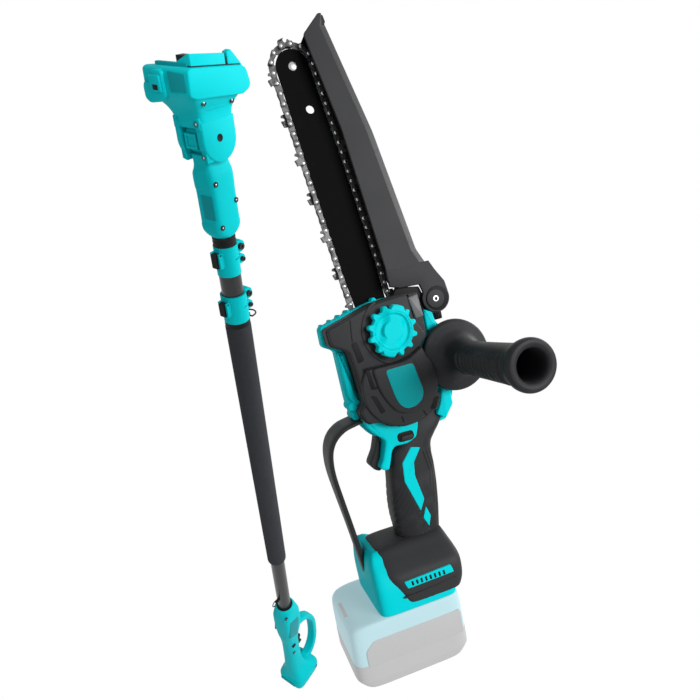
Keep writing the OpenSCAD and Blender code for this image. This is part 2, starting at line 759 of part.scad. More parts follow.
knob_y = -cover_front - 1;
module side_cover() {
    color(dark) in_pole_frame() difference() {
        union() {
            along_y(-cover_front + 6, housing_front_y - run_gap) cover_plan();
            along_y(-cover_front, -cover_front + 6.1) intersection() {
                translate([-8, 2]) circle(33);
                cover_plan();
            }
        }
        // inside, room for the sprocket, the chain and the bar
        along_y(-cover_front + 10, 0) {
            circle(chain_r + 3);
            rotate(bar_lean) translate([-bar_w / 2 - 8, -2]) square([bar_w + 16, 120]);
        }
        translate([0, -80, 0]) on_bar() bore_y(0, stud_z, 12 + 2 * run_gap, 0, 80);
        translate([0, -80, 0]) on_bar() bore_y(0, stud_z, 52, 0, 80 - cover_front + 4);
        // clear of the side handle's flange and of the guard's boss
        bore_y(side_at[0], side_at[1], 2 * side_flange_r + 2, -40, 0);
        bore_y(guard_at[0], guard_at[1], 28, -40, 0);
    }
}

module cover_knob() {
    color(teal) in_pole_frame() on_bar() {
        difference() {
            union() {
                bore_y(0, stud_z, 42, knob_y - 9, knob_y + 4 - run_gap);
                for (a = [0 : 30 : 330]) translate([0, 0, stud_z]) rotate([0, a, 0]) translate([21, 0, 0])
                    bore_y(0, 0, 7, knob_y - 8, knob_y + 4 - run_gap);
                translate([0, knob_y - 12, stud_z]) rotate([0, -28, 0]) cube([11, 16, 48], center = true);
                bore_y(0, stud_z, 12, knob_y, -3.6);
            }
            bore_y(0, stud_z, stud_d + 2 * fit_gap, knob_y - 4, 10);
        }
    }
}

module bar_stud() {
    color(steel) in_pole_frame() on_bar() bore_y(0, stud_z, stud_d, knob_y + 4, 14);
}

module drive_sprocket() {
    color(steel) in_pole_frame() {
        bore_y(0, 0, shaft_d, -8, 46);
        along_y(-1.2, 1.2) difference() {
            circle(drive_r - 3.4);
            for (k = [0 : teeth - 1]) rotate(k * 360 / teeth) translate([drive_r - 1, 0]) circle(4);
        }
        bore_y(0, 0, 15, -6, -2.6);
        bore_y(0, 0, 15, 2.6, 4.6);
        bore_y(0, 0, 34, 26, 46);
    }
}

module motor() {
    color("#b87333") in_pole_frame() difference() {
        bore_y(0, 0, 2 * motor_r, split_y + 0.2, body_rear - 6);
        bore_y(0, 0, 36, split_y + 3, body_rear - 9);
        bore_y(0, 0, shaft_d + 4, 0, body_rear - 3);
    }
}

module oil_cap() {
    color(black) in_pole_frame() difference() {
        union() {
            translate([cap_at[0], cap_at[1], 34]) cylinder(d = 12, h = 9);
            translate([cap_at[0], cap_at[1], 42.5]) cylinder(d = 16, h = 7);
        }
        for (a = [0 : 30 : 330]) translate([cap_at[0], cap_at[1], 42]) rotate([0, 0, a]) translate([8.4, 0, 0]) cylinder(d = 2, h = 9, $fn = 16);
    }
}

guard_front = -16;
guard_back = 13;
guard_wall = 3;
module guard_plan() {
    polygon([[-25.5, 291], [-11, 307], [-5.4, 307], [19.8, 212], [39.2, 108], [57, 76], [58.5, 58], [46, 50], [38, 54],
             [34, 76], [15, 76.5], [6, 79], [5.4, 94], [-9.5, 215]]);
    translate(guard_at) circle(13);
}
module guard_inner() {                              // hollow between the two plates, open to the bar
    polygon([[-40, 290], [-12, 303], [-8.4, 303], [16.6, 211], [36, 106.6], [46, 84], [66, 78], [70, 40], [-10, 40]]);
}
module chain_guard() {
    color(dark) in_pole_frame() difference() {
        union() {
            along_y(guard_front, guard_front + guard_wall) guard_plan();
            along_y(guard_front + 1, guard_back - 1) difference() {
                guard_plan();
                guard_inner();
            }
            along_y(guard_back - guard_wall, guard_back) intersection() {
                guard_plan();
                translate([-60, 83]) square([140, 240]);
            }
        }
        bore_y(guard_at[0], guard_at[1], guard_pin_d + 2 * fit_gap);
        bore_y(guard_at[0], guard_at[1], 15, -30, guard_front + 1.4);
    }
}

module guard_screw() {
    color(black) in_pole_frame() difference() {
        union() {
            bore_y(guard_at[0], guard_at[1], guard_pin_d, -guard_wall + guard_front + 1, 4);
            bore_y(guard_at[0], guard_at[1], 13, guard_front - 2.2, guard_front + 1.1);
        }
        translate([guard_at[0], guard_front - 3, guard_at[1]]) rotate([90, 0, 0]) cylinder(d = 5, h = 4, center = true, $fn = 6);
    }
}

module side_handle() {
    color(dark) in_pole_frame() translate([side_at[0], side_y - 0.6, side_at[1]]) rotate([90, 0, 0]) difference() {
        rotate_extrude() {
            polygon([[0, 0], [side_flange_r - 3, 0], [side_flange_r, 3], [side_flange_r - 1, 6], [side_r + 7, 9],
                     [side_r + 1, 17], [side_r - 1, 30], [side_r, 60], [side_r + 1.4, side_len - 14],
                     [side_r + 4, side_len - 6], [side_r + 5, side_len], [0, side_len]]);
        }
        translate([0, 0, side_len - 70]) cylinder(r = side_r - 2.4, h = 71);
        translate([0, 0, -1]) cylinder(d = stud_d, h = 24);
    }
}
module side_handle_stud() {
    color(steel) in_pole_frame() bore_y(side_at[0], side_at[1], stud_d, side_y - 20, 8);
}

// hand guard: a flat band in the saw's XZ plane, as [x, z, width across]
band_path = [[-40, -33, 30], [-60, -37, 30], [-69, -47, 28], [-72, -66, 24], [-70, -94, 20], [-67, -124, 15],
             [-63, -152, 12], [-61, -168, 12]];
band_t = 5;
module hand_guard() {
    color(dark) in_pole_frame() difference() {
        for (i = [0 : len(band_path) - 2]) hull() {
            for (p = [band_path[i], band_path[i + 1]]) translate([p[0], 0, p[1]]) rotate([90, 0, 0])
                cylinder(d = band_t, h = p[2], center = true, $fn = 16);
        }
        along_y(-20, 20) offset(delta = 0.05) housing_plan();
        foot_base(-pack_w / 2, pack_w / 2);
    }
}

module saw_trigger() {
    color(dark) in_pole_frame() difference() {
        translate([-37, -6, -74]) cube([22, 12, 30]);
        translate([-45, 0, -57]) rotate([90, 0, 0]) cylinder(r = 13, h = 20, center = true);
    }
}

module saw_lock_button() {
    color(dark) in_pole_frame() translate([-13.7, -19, -51.7]) cube([16.4, 7, 7]);
}

module grip_rubber() {
    color(dark) in_pole_frame() difference() {
        union() {
            along_y(-grip_t / 2, grip_t / 2) polygon([[-12, -74], [-21, -82], [-24.5, -113], [-24, block_top + run_gap],
                [10.5, block_top + run_gap],
                [14.5, -131], [18, -102], [20, -84], [26, -66], [40, -50], [34, -42], [10, -52]]);
        }
        along_y(-grip_t / 2 + 4, grip_t / 2 - 4) grip_plan();
        along_y(housing_front_y, body_rear) housing_plan();
        along_y(-frame_y - 1, housing_front_y + 1) frame_plan();
        along_y(-grip_t / 2 - 1, grip_t / 2 + 1) polygon([[-30, -60], [-12, -74], [10, -52], [10, -30], [-30, -30]]);
    }
}

block_low = -185;
block_top = -146;
vent_x = -37;
vent_z = -175;
vent_len = 41;
vent_h = 8.4;
module foot_block() {
    color(dark) in_pole_frame() difference() {
        hull() {
            translate([-13.5, 0, block_low]) linear_extrude(19) rrect(63, pack_w + 3, 10);
            translate([-19, 0, block_top - 1]) linear_extrude(1) rrect(66, grip_t + 10, 10);
        }
        foot_base(-pack_w / 2, pack_w / 2);
        translate([vent_x, -pack_w / 2 - 3, vent_z]) cube([vent_len, 4, vent_h]);
        along_y(-grip_t / 2 + 4, grip_t / 2 - 4) grip_plan();
    }
}

module vent_strip() {
    color(teal) in_pole_frame() difference() {
        translate([vent_x + 0.2, -pack_w / 2 - 1.7, vent_z + 0.2]) cube([vent_len - 0.4, 1.7, vent_h - 0.4]);
        for (i = [0 : 7]) translate([vent_x + 3.6 + i * 4.6, -pack_w / 2 - 2, vent_z + 2]) cube([1.8, 3, 4.4]);
    }
}

// ---- battery: top with rails, lower case, latch and cells
pack_x = -41;
module pack_box(z0, z1) {
    intersection() {
        translate([pack_x, 0, z0]) linear_extrude(z1 - z0) rrect(pack_len, pack_w + 1, 8);
        along_y(-50, 50) polygon([[pack_x - pack_len, foot_low], [pack_x + pack_len, foot_low],
                                   [pack_x + pack_len / 2, foot_low - pack_h + 8],
                                   [pack_x + pack_len / 2 - 6, foot_low - pack_h],
                                   [pack_x - pack_len / 2 + 6, foot_low - pack_h],
                                   [pack_x - pack_len / 2, foot_low - pack_h + 8]]);
    }
}
pack_split = foot_low - 20;
module battery_top() {
    color(pale_teal) in_pole_frame() difference() {
        union() {
            pack_box(pack_split, foot_low - run_gap);
            translate([pack_x + 12, 0, foot_low - 1]) linear_extrude(lip_h + 1 + run_gap) rrect(62, rail_w - 8, 1);
            translate([pack_x + 12, 0, foot_low + lip_h]) linear_extrude(rail_h - lip_h) rrect(62, rail_w, 2);
        }
        translate([pack_x, 0, pack_split - 1]) linear_extrude(18) rrect(pack_len - 6, pack_w - 5, 5);
        translate([pack_x - pack_len / 2 - 1, -13, foot_low - 13]) cube([8, 26, 11]);
    }
}
module battery_bottom() {
    color(pale_grey) in_pole_frame() difference() {
        pack_box(foot_low - pack_h, pack_split);
        translate([pack_x, 0, foot_low - pack_h + 6]) linear_extrude(60) rrect(pack_len - 6, pack_w - 5, 5);
    }
}
module battery_latch() {
    color(pale_grey) in_pole_frame()
        translate([pack_x - pack_len / 2 - 0.6, -13 + run_gap, foot_low - 13 + run_gap]) cube([5, 26 - 2 * run_gap, 11 - 2 * run_gap]);
}
cell_d = 21;
module battery_cells() {
    color("#d0d8dc") in_pole_frame() for (x = [-36, -12, 12, 36], z = [0, cell_d - 0.4])
        bore_y(pack_x + x, foot_low - pack_h + 6 + cell_d / 2 + z, cell_d, -32, 33);
}

head_shell_front();
head_shell_rear();
head_contact_block();
head_release_button();
head_screws();
knuckle_pin();
knuckle_lock_button();
neck_shell_front();
neck_shell_rear();
neck_screws();
neck_seal_ring();
top_tube();
upper_clamp();
upper_clamp_bolts();
upper_clamp_lever();
middle_tube();
lower_clamp();
lower_clamp_bolts();
lower_clamp_lever();
outer_tube();
strap_band();
strap_ring();
foam_grip();
reducing_bush();
handle_tube();
lower_strap_ring();
handle_collar();
handle_shell_front();
handle_shell_rear();
handle_trigger();
handle_lock_button();
handle_terminals();
handle_screws();
curled_lead();
housing_front();
housing_rear();
guide_bar();
nose_sprocket();
chain_straps();
chain_cutters();
side_cover();
cover_knob();
bar_stud();
drive_sprocket();
motor();
oil_cap();
chain_guard();
guard_screw();
side_handle();
side_handle_stud();
hand_guard();
saw_trigger();
saw_lock_button();
grip_rubber();
foot_block();
vent_strip();
battery_top();
battery_bottom();
battery_latch();
battery_cells();
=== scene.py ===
# %% [markdown]
# # A telescoping pole saw, dressed
#
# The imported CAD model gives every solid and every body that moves. This script keeps the solids
# whose shape is right and gives them a finish. Where the real piece is softer or finer than its
# solid, such as a moulded shell, a ribbed grip or a saw chain, it works out a new surface with numpy.

# %% Load the frame
import json
import math

import bmesh
import bpy
import numpy as np
from mathutils import Matrix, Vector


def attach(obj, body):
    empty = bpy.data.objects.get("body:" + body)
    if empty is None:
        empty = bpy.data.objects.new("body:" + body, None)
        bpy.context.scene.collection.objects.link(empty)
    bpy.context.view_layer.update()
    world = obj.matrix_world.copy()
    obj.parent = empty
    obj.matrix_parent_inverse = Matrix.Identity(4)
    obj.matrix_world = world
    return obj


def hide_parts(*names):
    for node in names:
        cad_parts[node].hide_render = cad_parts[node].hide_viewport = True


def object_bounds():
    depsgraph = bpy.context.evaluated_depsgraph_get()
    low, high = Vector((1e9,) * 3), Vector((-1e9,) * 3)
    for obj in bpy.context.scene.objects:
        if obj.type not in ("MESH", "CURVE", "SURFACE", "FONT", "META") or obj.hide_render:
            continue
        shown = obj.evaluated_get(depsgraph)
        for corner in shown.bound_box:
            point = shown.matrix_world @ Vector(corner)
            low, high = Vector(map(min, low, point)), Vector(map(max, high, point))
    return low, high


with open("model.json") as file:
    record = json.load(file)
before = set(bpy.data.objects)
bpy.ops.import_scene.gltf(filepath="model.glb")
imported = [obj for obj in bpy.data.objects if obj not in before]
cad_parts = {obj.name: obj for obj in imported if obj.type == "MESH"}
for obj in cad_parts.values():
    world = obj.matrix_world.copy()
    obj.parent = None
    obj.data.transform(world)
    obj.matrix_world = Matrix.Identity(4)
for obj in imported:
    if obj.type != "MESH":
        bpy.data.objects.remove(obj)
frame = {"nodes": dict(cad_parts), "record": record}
nodes = frame["nodes"]
cad_box = [list(corner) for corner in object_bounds()]

MM = 0.001
TAU = 2 * math.pi

# %% [markdown]
# ## The saw's own frame
# The saw stands beside the pole at its own angle. Its origin is the drive sprocket's centre:
# X runs to the rear, Y away from the cover and Z up from the foot. All of its pieces are worked
# out there in millimetres, and one matrix brings them to the part's frame in metres.

# %% Frames
def turn(axis, degrees):
    """Rotation matrix about X, Y or Z: the plain cosine and sine matrix."""
    c, s = math.cos(math.radians(degrees)), math.sin(math.radians(degrees))
    i, j = [(1, 2), (2, 0), (0, 1)]["XYZ".index(axis)]
    m = np.eye(3)
    m[i, i] = m[j, j] = c
    m[i, j], m[j, i] = -s, s
    return m


SAW_AT = np.array([-128, -326, 984.0])
SAW_TURN = turn("Z", -37.7) @ turn("Y", -0.7) @ turn("X", -30.2)
BAR_LEAN = 7.4
BAR_TURN = turn("Y", -BAR_LEAN)


def saw(points):
    """Saw frame to the part's frame, both in mm: p' = R p + t."""
    return np.asarray(points, float) @ SAW_TURN.T + SAW_AT


def on_bar(points):
    """Bar frame, whose Z runs along the guide bar, to the saw frame: a lean about Y."""
    return np.asarray(points, float) @ BAR_TURN.T


def pole(points):
    """The pole's pieces are already in the part's frame, in mm."""
    return np.asarray(points, float)


def bar_place(points):
    """Bar frame straight to the part's frame."""
    return saw(on_bar(points))


# %% [markdown]
# ## The camera
# A camera a little above the head of the pole looks down along it. The lens is moderately wide, so
# the pole tapers strongly towards its foot.

# %% Camera
camera = bpy.data.objects.new("camera", bpy.data.cameras.new("camera"))
bpy.context.scene.collection.objects.link(camera)
bpy.context.scene.camera = camera
SENSOR_MM, LENS_MM = 36.0, 28.8
CAM_AT = np.array([-0.4791, -0.5138, 1.2960])
CAM_LOOK = np.array([0.6780, 0.4540, -0.5781])
CAM_UP = np.array([0.4965, 0.2972, 0.8156])
back = -CAM_LOOK / np.linalg.norm(CAM_LOOK)
right = np.cross(CAM_UP, back)
right /= np.linalg.norm(right)
up = np.cross(back, right)
pose = np.eye(4)
pose[:3, 0], pose[:3, 1], pose[:3, 2], pose[:3, 3] = right, up, back, CAM_AT
camera.matrix_world = Matrix(pose.tolist())
camera.data.sensor_width, camera.data.lens = SENSOR_MM, LENS_MM
camera.data.clip_start, camera.data.clip_end = 0.02, 50.0
print("camera looks", np.round(-back, 3))

# %% [markdown]
# ## Shader maths as plain Python
# A wrapped socket takes +, - and * and adds the Math node that does it, so a material reads as
# the formula that it is. Every other node comes from one method, which takes the node's type, its
# settings and what goes into its sockets.

# %% The socket wrapper
class Wire:
    """One output socket. Operators on it add Math nodes to the same material."""

    def __init__(self, tree, socket):
        self.tree, self.socket = tree, socket

    def node(self, kind, settings=None, out=0, **sockets):
        return make_node(self.tree, kind, settings, out, **sockets)

    def math(self, operation, a, b=0.0, c=0.0):
        new = self.tree.nodes.new("ShaderNodeMath")
        new.operation = operation
        for k, v in enumerate((a, b, c)):
            if isinstance(v, Wire):
                self.tree.links.new(v.socket, new.inputs[k])
            elif k < len(new.inputs):
                new.inputs[k].default_value = v
        return Wire(self.tree, new.outputs[0])

    def __add__(self, other): return self.math("ADD", self, other)
    def __radd__(self, other): return self.math("ADD", other, self)
    def __sub__(self, other): return self.math("SUBTRACT", self, other)
    def __mul__(self, other): return self.math("MULTIPLY", self, other)
    def __rmul__(self, other): return self.math("MULTIPLY", other, self)
    def step(self, low, high):
        """Smooth step: 0 below low, 1 above high."""
        return self.node("ShaderNodeMapRange", {"interpolation_type": "SMOOTHSTEP"},
                         Value=self, From_Min=low, From_Max=high)


def make_node(tree, kind, settings=None, out=0, **sockets):
    """Adds any node: settings first, then values or links by socket name, with _ for a space."""
    new = tree.nodes.new(kind)
    for key, value in (settings or {}).items():
        if key == "stops":
            ramp = new.color_ramp
            while len(ramp.elements) < len(value):
                ramp.elements.new(0.5)
            for element, (place, colour) in zip(ramp.elements, value):
                element.position = place
                element.color = (*colour, 1)
        else:
            setattr(new, key, value)
    for key, value in sockets.items():
        name = key.replace("_", " ")
        target = next(s for s in new.inputs if s.name == name and s.enabled)
        if isinstance(value, Wire):
            tree.links.new(value.socket, target)
        else:
            target.default_value = (*value, 1) if isinstance(value, tuple) and len(value) == 3 \
                and target.type == "RGBA" else value
    return Wire(tree, new.outputs[out])


class Finish:
    """A material in the making: its tree, its Object coordinates and a few words for noise."""

    def __init__(self, name):
        self.material = bpy.data.materials.new(name)
        self.material.use_nodes = True
        self.tree = self.material.node_tree
        self.tree.nodes.clear()
        self.at = make_node(self.tree, "ShaderNodeTexCoord", out=3)

    def noise(self, size_mm, detail=3.0, stretch=None):
        """Noise between 0 and 1 whose lumps are about size_mm across."""
        place = self.at
        if stretch:
            place = make_node(self.tree, "ShaderNodeMapping", Vector=self.at, Scale=stretch)
        return make_node(self.tree, "ShaderNodeTexNoise", Vector=place, Scale=1000.0 / size_mm, Detail=detail)

    def cells(self, size_mm):
        """Distance to the nearest of many scattered points, size_mm apart."""
        return make_node(self.tree, "ShaderNodeTexVoronoi", Vector=self.at, Scale=1000.0 / size_mm)

    def blend(self, factor, a, b):
        """Colour a where factor is 0 and b where it is 1."""
        mix = self.tree.nodes.new("ShaderNodeMix")
        mix.data_type = "RGBA"
        for socket, value in ((mix.inputs[0], factor), (mix.inputs[6], a), (mix.inputs[7], b)):
            if isinstance(value, Wire):
                self.tree.links.new(value.socket, socket)
            else:
                socket.default_value = (*value, 1) if isinstance(value, tuple) else value
        return Wire(self.tree, mix.outputs[2])

    def bump(self, height, depth_mm, edge_mm=0.0):
        """Bump of a height between 0 and 1; edge_mm rounds the edges first."""
        extra = {}
        if edge_mm:
            extra["Normal"] = make_node(self.tree, "ShaderNodeBevel", {"samples": 4}, Radius=edge_mm * MM)
        return make_node(self.tree, "ShaderNodeBump", Height=height, Strength=1.0,
                         Distance=depth_mm * MM, **extra)

    def close(self, colour, roughness, normal=None, **fixed):
        """Principled shader; fixed values such as Metallic go on its own sockets."""
        sockets = dict(Base_Color=colour, Roughness=roughness, **fixed)
        if normal is not None:
            sockets["Normal"] = normal
        shader = make_node(self.tree, "ShaderNodeBsdfPrincipled", **sockets)
        out = self.tree.nodes.new("ShaderNodeOutputMaterial")
        self.tree.links.new(shader.socket, out.inputs["Surface"])
        return self.material


# %% [markdown]
# ## Light and ground
# The object stands before plain white. The floor and the world are white only to camera rays and to
# reflections. The light on the object comes from three soft lamps and a level world, and the floor
# throws it back as a pale matt sheet would.

# %% Light
def white_where_seen(tree, white, other, output):
    """The white shader for camera, mirror and clear rays, and the other one for all the rest."""
    path = tree.nodes.new("ShaderNodeLightPath")
    camera_ray, mirror, clear = (Wire(tree, path.outputs[f"Is {kind} Ray"])
                                 for kind in ("Camera", "Glossy", "Transmission"))
    mix = tree.nodes.new("ShaderNodeMixShader")
    for socket, wire in zip(mix.inputs, (camera_ray + mirror + clear, other, white)):
        tree.links.new(wire.socket, socket)
    out = tree.nodes.new(output)
    tree.links.new(mix.outputs[0], out.inputs["Surface"])


scene = bpy.context.scene
scene.view_settings.view_transform = "Standard"
world = bpy.data.worlds.new("studio")
scene.world = world
world.use_nodes = True
sky = world.node_tree
sky.nodes.clear()
white_where_seen(sky, make_node(sky, "ShaderNodeBackground", Color=(1.0, 1.0, 1.0), Strength=1.0),
                 make_node(sky, "ShaderNodeBackground", Color=(0.92, 0.96, 1.0), Strength=0.24),
                 "ShaderNodeOutputWorld")


def lamp(name, at, aim, size, watts):
    """White square area lamp at a point, turned to aim at another."""
    data = bpy.data.lights.new(name, "AREA")
    data.shape, data.size, data.energy = "SQUARE", size, watts
    obj = bpy.data.objects.new(name, data)
    scene.collection.objects.link(obj)
    z = np.array(at, float) - np.array(aim, float)
    z /= np.linalg.norm(z)
    x = np.cross((0, 0, 1), z)
    x /= np.linalg.norm(x)
    m = np.eye(4)
    m[:3, 0], m[:3, 1], m[:3, 2], m[:3, 3] = x, np.cross(z, x), z, at
    obj.matrix_world = Matrix(m.tolist())


MIDDLE = (-0.05, -0.1, 0.9)
lamp("key", (-0.25, -2.1, 2.3), MIDDLE, 1.1, 56)
lamp("fill", (-2.2, 0.6, 1.5), MIDDLE, 1.8, 9)
lamp("rim", (1.5, -1.0, 1.2), MIDDLE, 1.0, 20)

# %% Floor
FLOOR_HALF = 6.0
floor_mesh = bpy.data.meshes.new("floor")
floor_mesh.from_pydata([(x * FLOOR_HALF, y * FLOOR_HALF, cad_box[0][2])
                        for x, y in ((-1, -1), (1, -1), (1, 1), (-1, 1))], [], [(0, 1, 2, 3)])
floor = bpy.data.objects.new("floor", floor_mesh)
scene.collection.objects.link(floor)
ground = Finish("white_floor")
shining = make_node(ground.tree, "ShaderNodeEmission", Color=(1.0, 1.0, 1.0), Strength=1.0)
matt = make_node(ground.tree, "ShaderNodeBsdfDiffuse", Color=(0.8, 0.8, 0.8))
white_where_seen(ground.tree, shining, matt, "ShaderNodeOutputMaterial")
floor_mesh.materials.append(ground.material)

# %% [markdown]
# ## Moulded plastics
# The shells are injection moulded. The turquoise ones come from a tool with a fine spark-eroded
# grain, so they scatter light softly; the dark ones are glass-filled nylon, a little rougher, with
# faint flow marks. Both get slightly rounded edges in the shading and scuffs scattered by a noise.

# %% Moulded plastic
def moulded(name, colour, worn, rough, grain_mm, grain_depth, edge_mm=0.7, shine=0.4, painted_glow=0.0):
    """Colour drifts with a large noise and grain is a fine one used as bump; a part given a painted glow
    emits its own colour, which lifts its shade.
    """
    f = Finish(name)
    drift = f.noise(38.0, 2.0)
    scuff = f.noise(7.0, 5.0).step(0.60, 0.78)
    grain = f.noise(grain_mm, 2.0)
    tint = f.blend(drift * 0.5 + scuff * 0.35, colour, worn)
    return f.close(tint, rough + 0.10 * scuff + 0.06 * (grain - 0.5) - 0.05 * drift,
                   f.bump(grain, grain_depth, edge_mm), Specular_IOR_Level=shine, Emission_Color=tint,
                   Emission_Strength=painted_glow)


# The glow column is a painted glow: emission in a shell's own colour, set only on the two pale battery shells
# to lift the shade on them.
PLASTICS = {  # colour, worn colour, roughness, grain size and depth in mm, edge, shine, glow
    "teal_shell": ((0.0, 0.56, 0.60), (0.0, 0.60, 0.64), 0.55, 0.55, 0.05, 0.7, 0.06),
    "black_plastic": ((0.004, 0.004, 0.0045), (0.010, 0.010, 0.011), 0.55, 0.5, 0.04, 0.5, 0.10),
    "dark_shell": ((0.020, 0.0205, 0.0215), (0.034, 0.0345, 0.036), 0.56, 0.7, 0.06, 0.7, 0.14),
    "pale_teal_shell": ((0.24, 0.345, 0.37), (0.27, 0.37, 0.39), 0.5, 0.6, 0.05, 0.7, 0.1, 1.0),
    "pale_grey_shell": ((0.245, 0.245, 0.246), (0.265, 0.265, 0.266), 0.5, 0.6, 0.05, 0.7, 0.1, 1.0),
}
finish = {name: moulded(name, *look) for name, look in PLASTICS.items()}
print("plastics:", ", ".join(finish))

# %% [markdown]
# ## Metals, rubber and foam
# Steel parts are turned or stamped, so their grain runs round or along. The bar is painted black.
# The tubes are anodised, which gives them a long soft highlight. The foam is closed-cell: tiny pores
# and no gloss at all.

# %% Metals
def turned_steel(name, colour, rough, oil):
    """Steel with fine streaks; oil darkens its hollows through a broad noise."""
    f = Finish(name)
    streak = f.noise(0.6, 2.0, stretch=(1.0, 1.0, 0.12))
    film = f.noise(4.0, 4.0).step(0.42, 0.68)
    tint = f.blend(film * oil, colour, tuple(c * 0.35 for c in colour))
    return f.close(tint, rough + 0.14 * streak + 0.12 * film, f.bump(streak, 0.02, 0.25), Metallic=1.0)


def painted_metal(name, colour, rough, speck, edge_mm=0.4, shine=0.5):
    """Paint over metal: orange peel as bump, and a few pale specks."""
    f = Finish(name)
    peel = f.noise(1.6, 2.0)
    rub = f.noise(11.0, 6.0).step(0.58, 0.80)
    tint = f.blend(rub * speck, colour, tuple(c * 2.5 + 0.02 for c in colour))
    return f.close(tint, rough + 0.12 * rub + 0.05 * peel, f.bump(peel, 0.02, edge_mm),
                   Specular_IOR_Level=shine)


def rubber(name, colour, dusty, rough, grain_mm, depth):
    """Rubber: dust lies in a broad noise and the skin has a fine leathery grain."""
    f = Finish(name)
    dust = f.noise(16.0, 5.0).step(0.45, 0.75)
    skin = f.cells(grain_mm)
    return f.close(f.blend(dust, colour, dusty), rough + 0.08 * dust, f.bump(skin, depth, 0.4),
                   Specular_IOR_Level=0.16)


def pored_foam(name):
    """Closed-cell foam: cells 0.7 mm across, each a small dent, over a slow change of tone."""
    f = Finish(name)
    cell = f.cells(0.9)
    lump = f.noise(9.0, 4.0)
    tint = f.blend(cell.step(0.1, 0.6) * 0.6 + lump * 0.4, (0.016, 0.017, 0.020), (0.042, 0.044, 0.050))
    return f.close(tint, 0.86 + 0.1 * lump, f.bump(cell + lump * 0.8, 0.22), Specular_IOR_Level=0.2)


OTHERS = {  # maker, then what it takes after the name
    "black_screw": (painted_metal, (0.008, 0.008, 0.008), 0.36, 0.25, 0.25, 0.3),
    "steel": (turned_steel, (0.42, 0.42, 0.43), 0.26, 0.3),
    "chain_steel": (turned_steel, (0.075, 0.074, 0.073), 0.38, 0.8),
    "black_rubber": (rubber, (0.006, 0.006, 0.0065), (0.014, 0.014, 0.015), 0.58, 0.8, 0.05),
    "grip_rubber_dark": (rubber, (0.014, 0.0145, 0.0155), (0.026, 0.0265, 0.028), 0.50, 0.7, 0.06),
    "dark_tube": (painted_metal, (0.018, 0.0185, 0.020), 0.26, 0.25, 0.3, 0.4),
    "foam": (pored_foam,),
    "black_bar": (painted_metal, (0.003, 0.003, 0.0032), 0.55, 0.12, 0.3, 0.02),
    "motor_steel": (turned_steel, (0.30, 0.28, 0.26), 0.4, 0.5),
    "cell_wrap": (moulded, (0.5, 0.6, 0.65), (0.45, 0.55, 0.6), 0.3, 1.2, 0.02),
}
for name, (maker, *look) in OTHERS.items():
    finish[name] = maker(name, *look)

# %% [markdown]
# ## The CAD nodes take their finish
# The record names a finish for each solid. A node keeps its mesh and only its material changes.

# %% Dress the nodes
for part in frame["record"]["subparts"]:
    mesh = nodes[part["node"]].data
    mesh.materials.clear()
    mesh.materials.append(finish[part["material_slot"]])

# %% [markdown]
# ## Two ways to make a surface
# Most moulded parts are plates with rounded edges, or bodies that change shape along a line. A plate
# is an outline carried through a few depths while it shrinks a little, which rounds its edge. A body
# is a stack of closed rings. Both come down to the same thing: an array of rings, n by m by 3, whose
# neighbours are joined by quads and whose ends are closed by one face each.

# %% Rings to a Blender object
def ring_faces(n, m):
    """Quads between n rings of m points, and a face over the first and the last ring."""
    i, j = np.arange(n - 1)[:, None], np.arange(m)[None, :]
    k = (j + 1) % m
    faces = np.stack([i * m + j, i * m + k, (i + 1) * m + k, (i + 1) * m + j], -1).reshape(-1, 4).tolist()
    return faces + [list(range(m))[::-1], [(n - 1) * m + q for q in range(m)]]


def put(name, points, faces, slot, body, *stands_for, place=saw, sharp=35, material=None):
    """Points in mm go through place() to metres; normals are made to face outwards."""
    mesh = bpy.data.meshes.new(name)
    mesh.from_pydata((place(np.asarray(points, float).reshape(-1, 3)) * MM).tolist(), [], faces)
    work = bmesh.new()
    work.from_mesh(mesh)
    bmesh.ops.remove_doubles(work, verts=work.verts, dist=1e-6)
    bmesh.ops.recalc_face_normals(work, faces=work.faces)
    work.to_mesh(mesh)
    work.free()
    mesh.polygons.foreach_set("use_smooth", np.ones(len(mesh.polygons), bool))
    mesh.set_sharp_from_angle(angle=math.radians(sharp))
    mesh.materials.append(material or finish[slot])
    obj = bpy.data.objects.new(name, mesh)
    scene.collection.objects.link(obj)
    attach(obj, body)
    if stands_for:
        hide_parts(*stands_for)
    print(f"{name}: {len(mesh.vertices)} points, {len(mesh.polygons)} faces")
    return obj


def rings_piece(name, rings, slot="teal_shell", body="root", *stands_for, **how):
    """Closed body from an array of rings, turquoise and on the root body unless told otherwise."""
    rings = np.asarray(rings, float)
    return put(name, rings, ring_faces(*rings.shape[:2]), slot, body, *stands_for, **how)


# %% Outlines
def step_(x, low, high):
    """Smooth step between low and high: 3t^2 - 2t^3."""
    t = np.clip((x - low) / (high - low), 0, 1)
    return t * t * (3 - 2 * t)


def fillet(points, radius, steps=5):
    """Rounds every corner: b(s) = (1-s)^2 a + 2s(1-s) p + s^2 c, from t before the corner to t after."""
    p = np.asarray(points, float)
    before, after = np.roll(p, 1, 0) - p, np.roll(p, -1, 0) - p
    lb, la = np.linalg.norm(before, axis=1), np.linalg.norm(after, axis=1)
    t = np.minimum(np.broadcast_to(radius, len(p)), 0.45 * np.minimum(lb, la))
    a, c = p + before * (t / lb)[:, None], p + after * (t / la)[:, None]
    s = np.linspace(0, 1, steps)[None, :, None]
    return ((1 - s) ** 2 * a[:, None] + 2 * s * (1 - s) * p[:, None] + s ** 2 * c[:, None]).reshape(-1, 2)


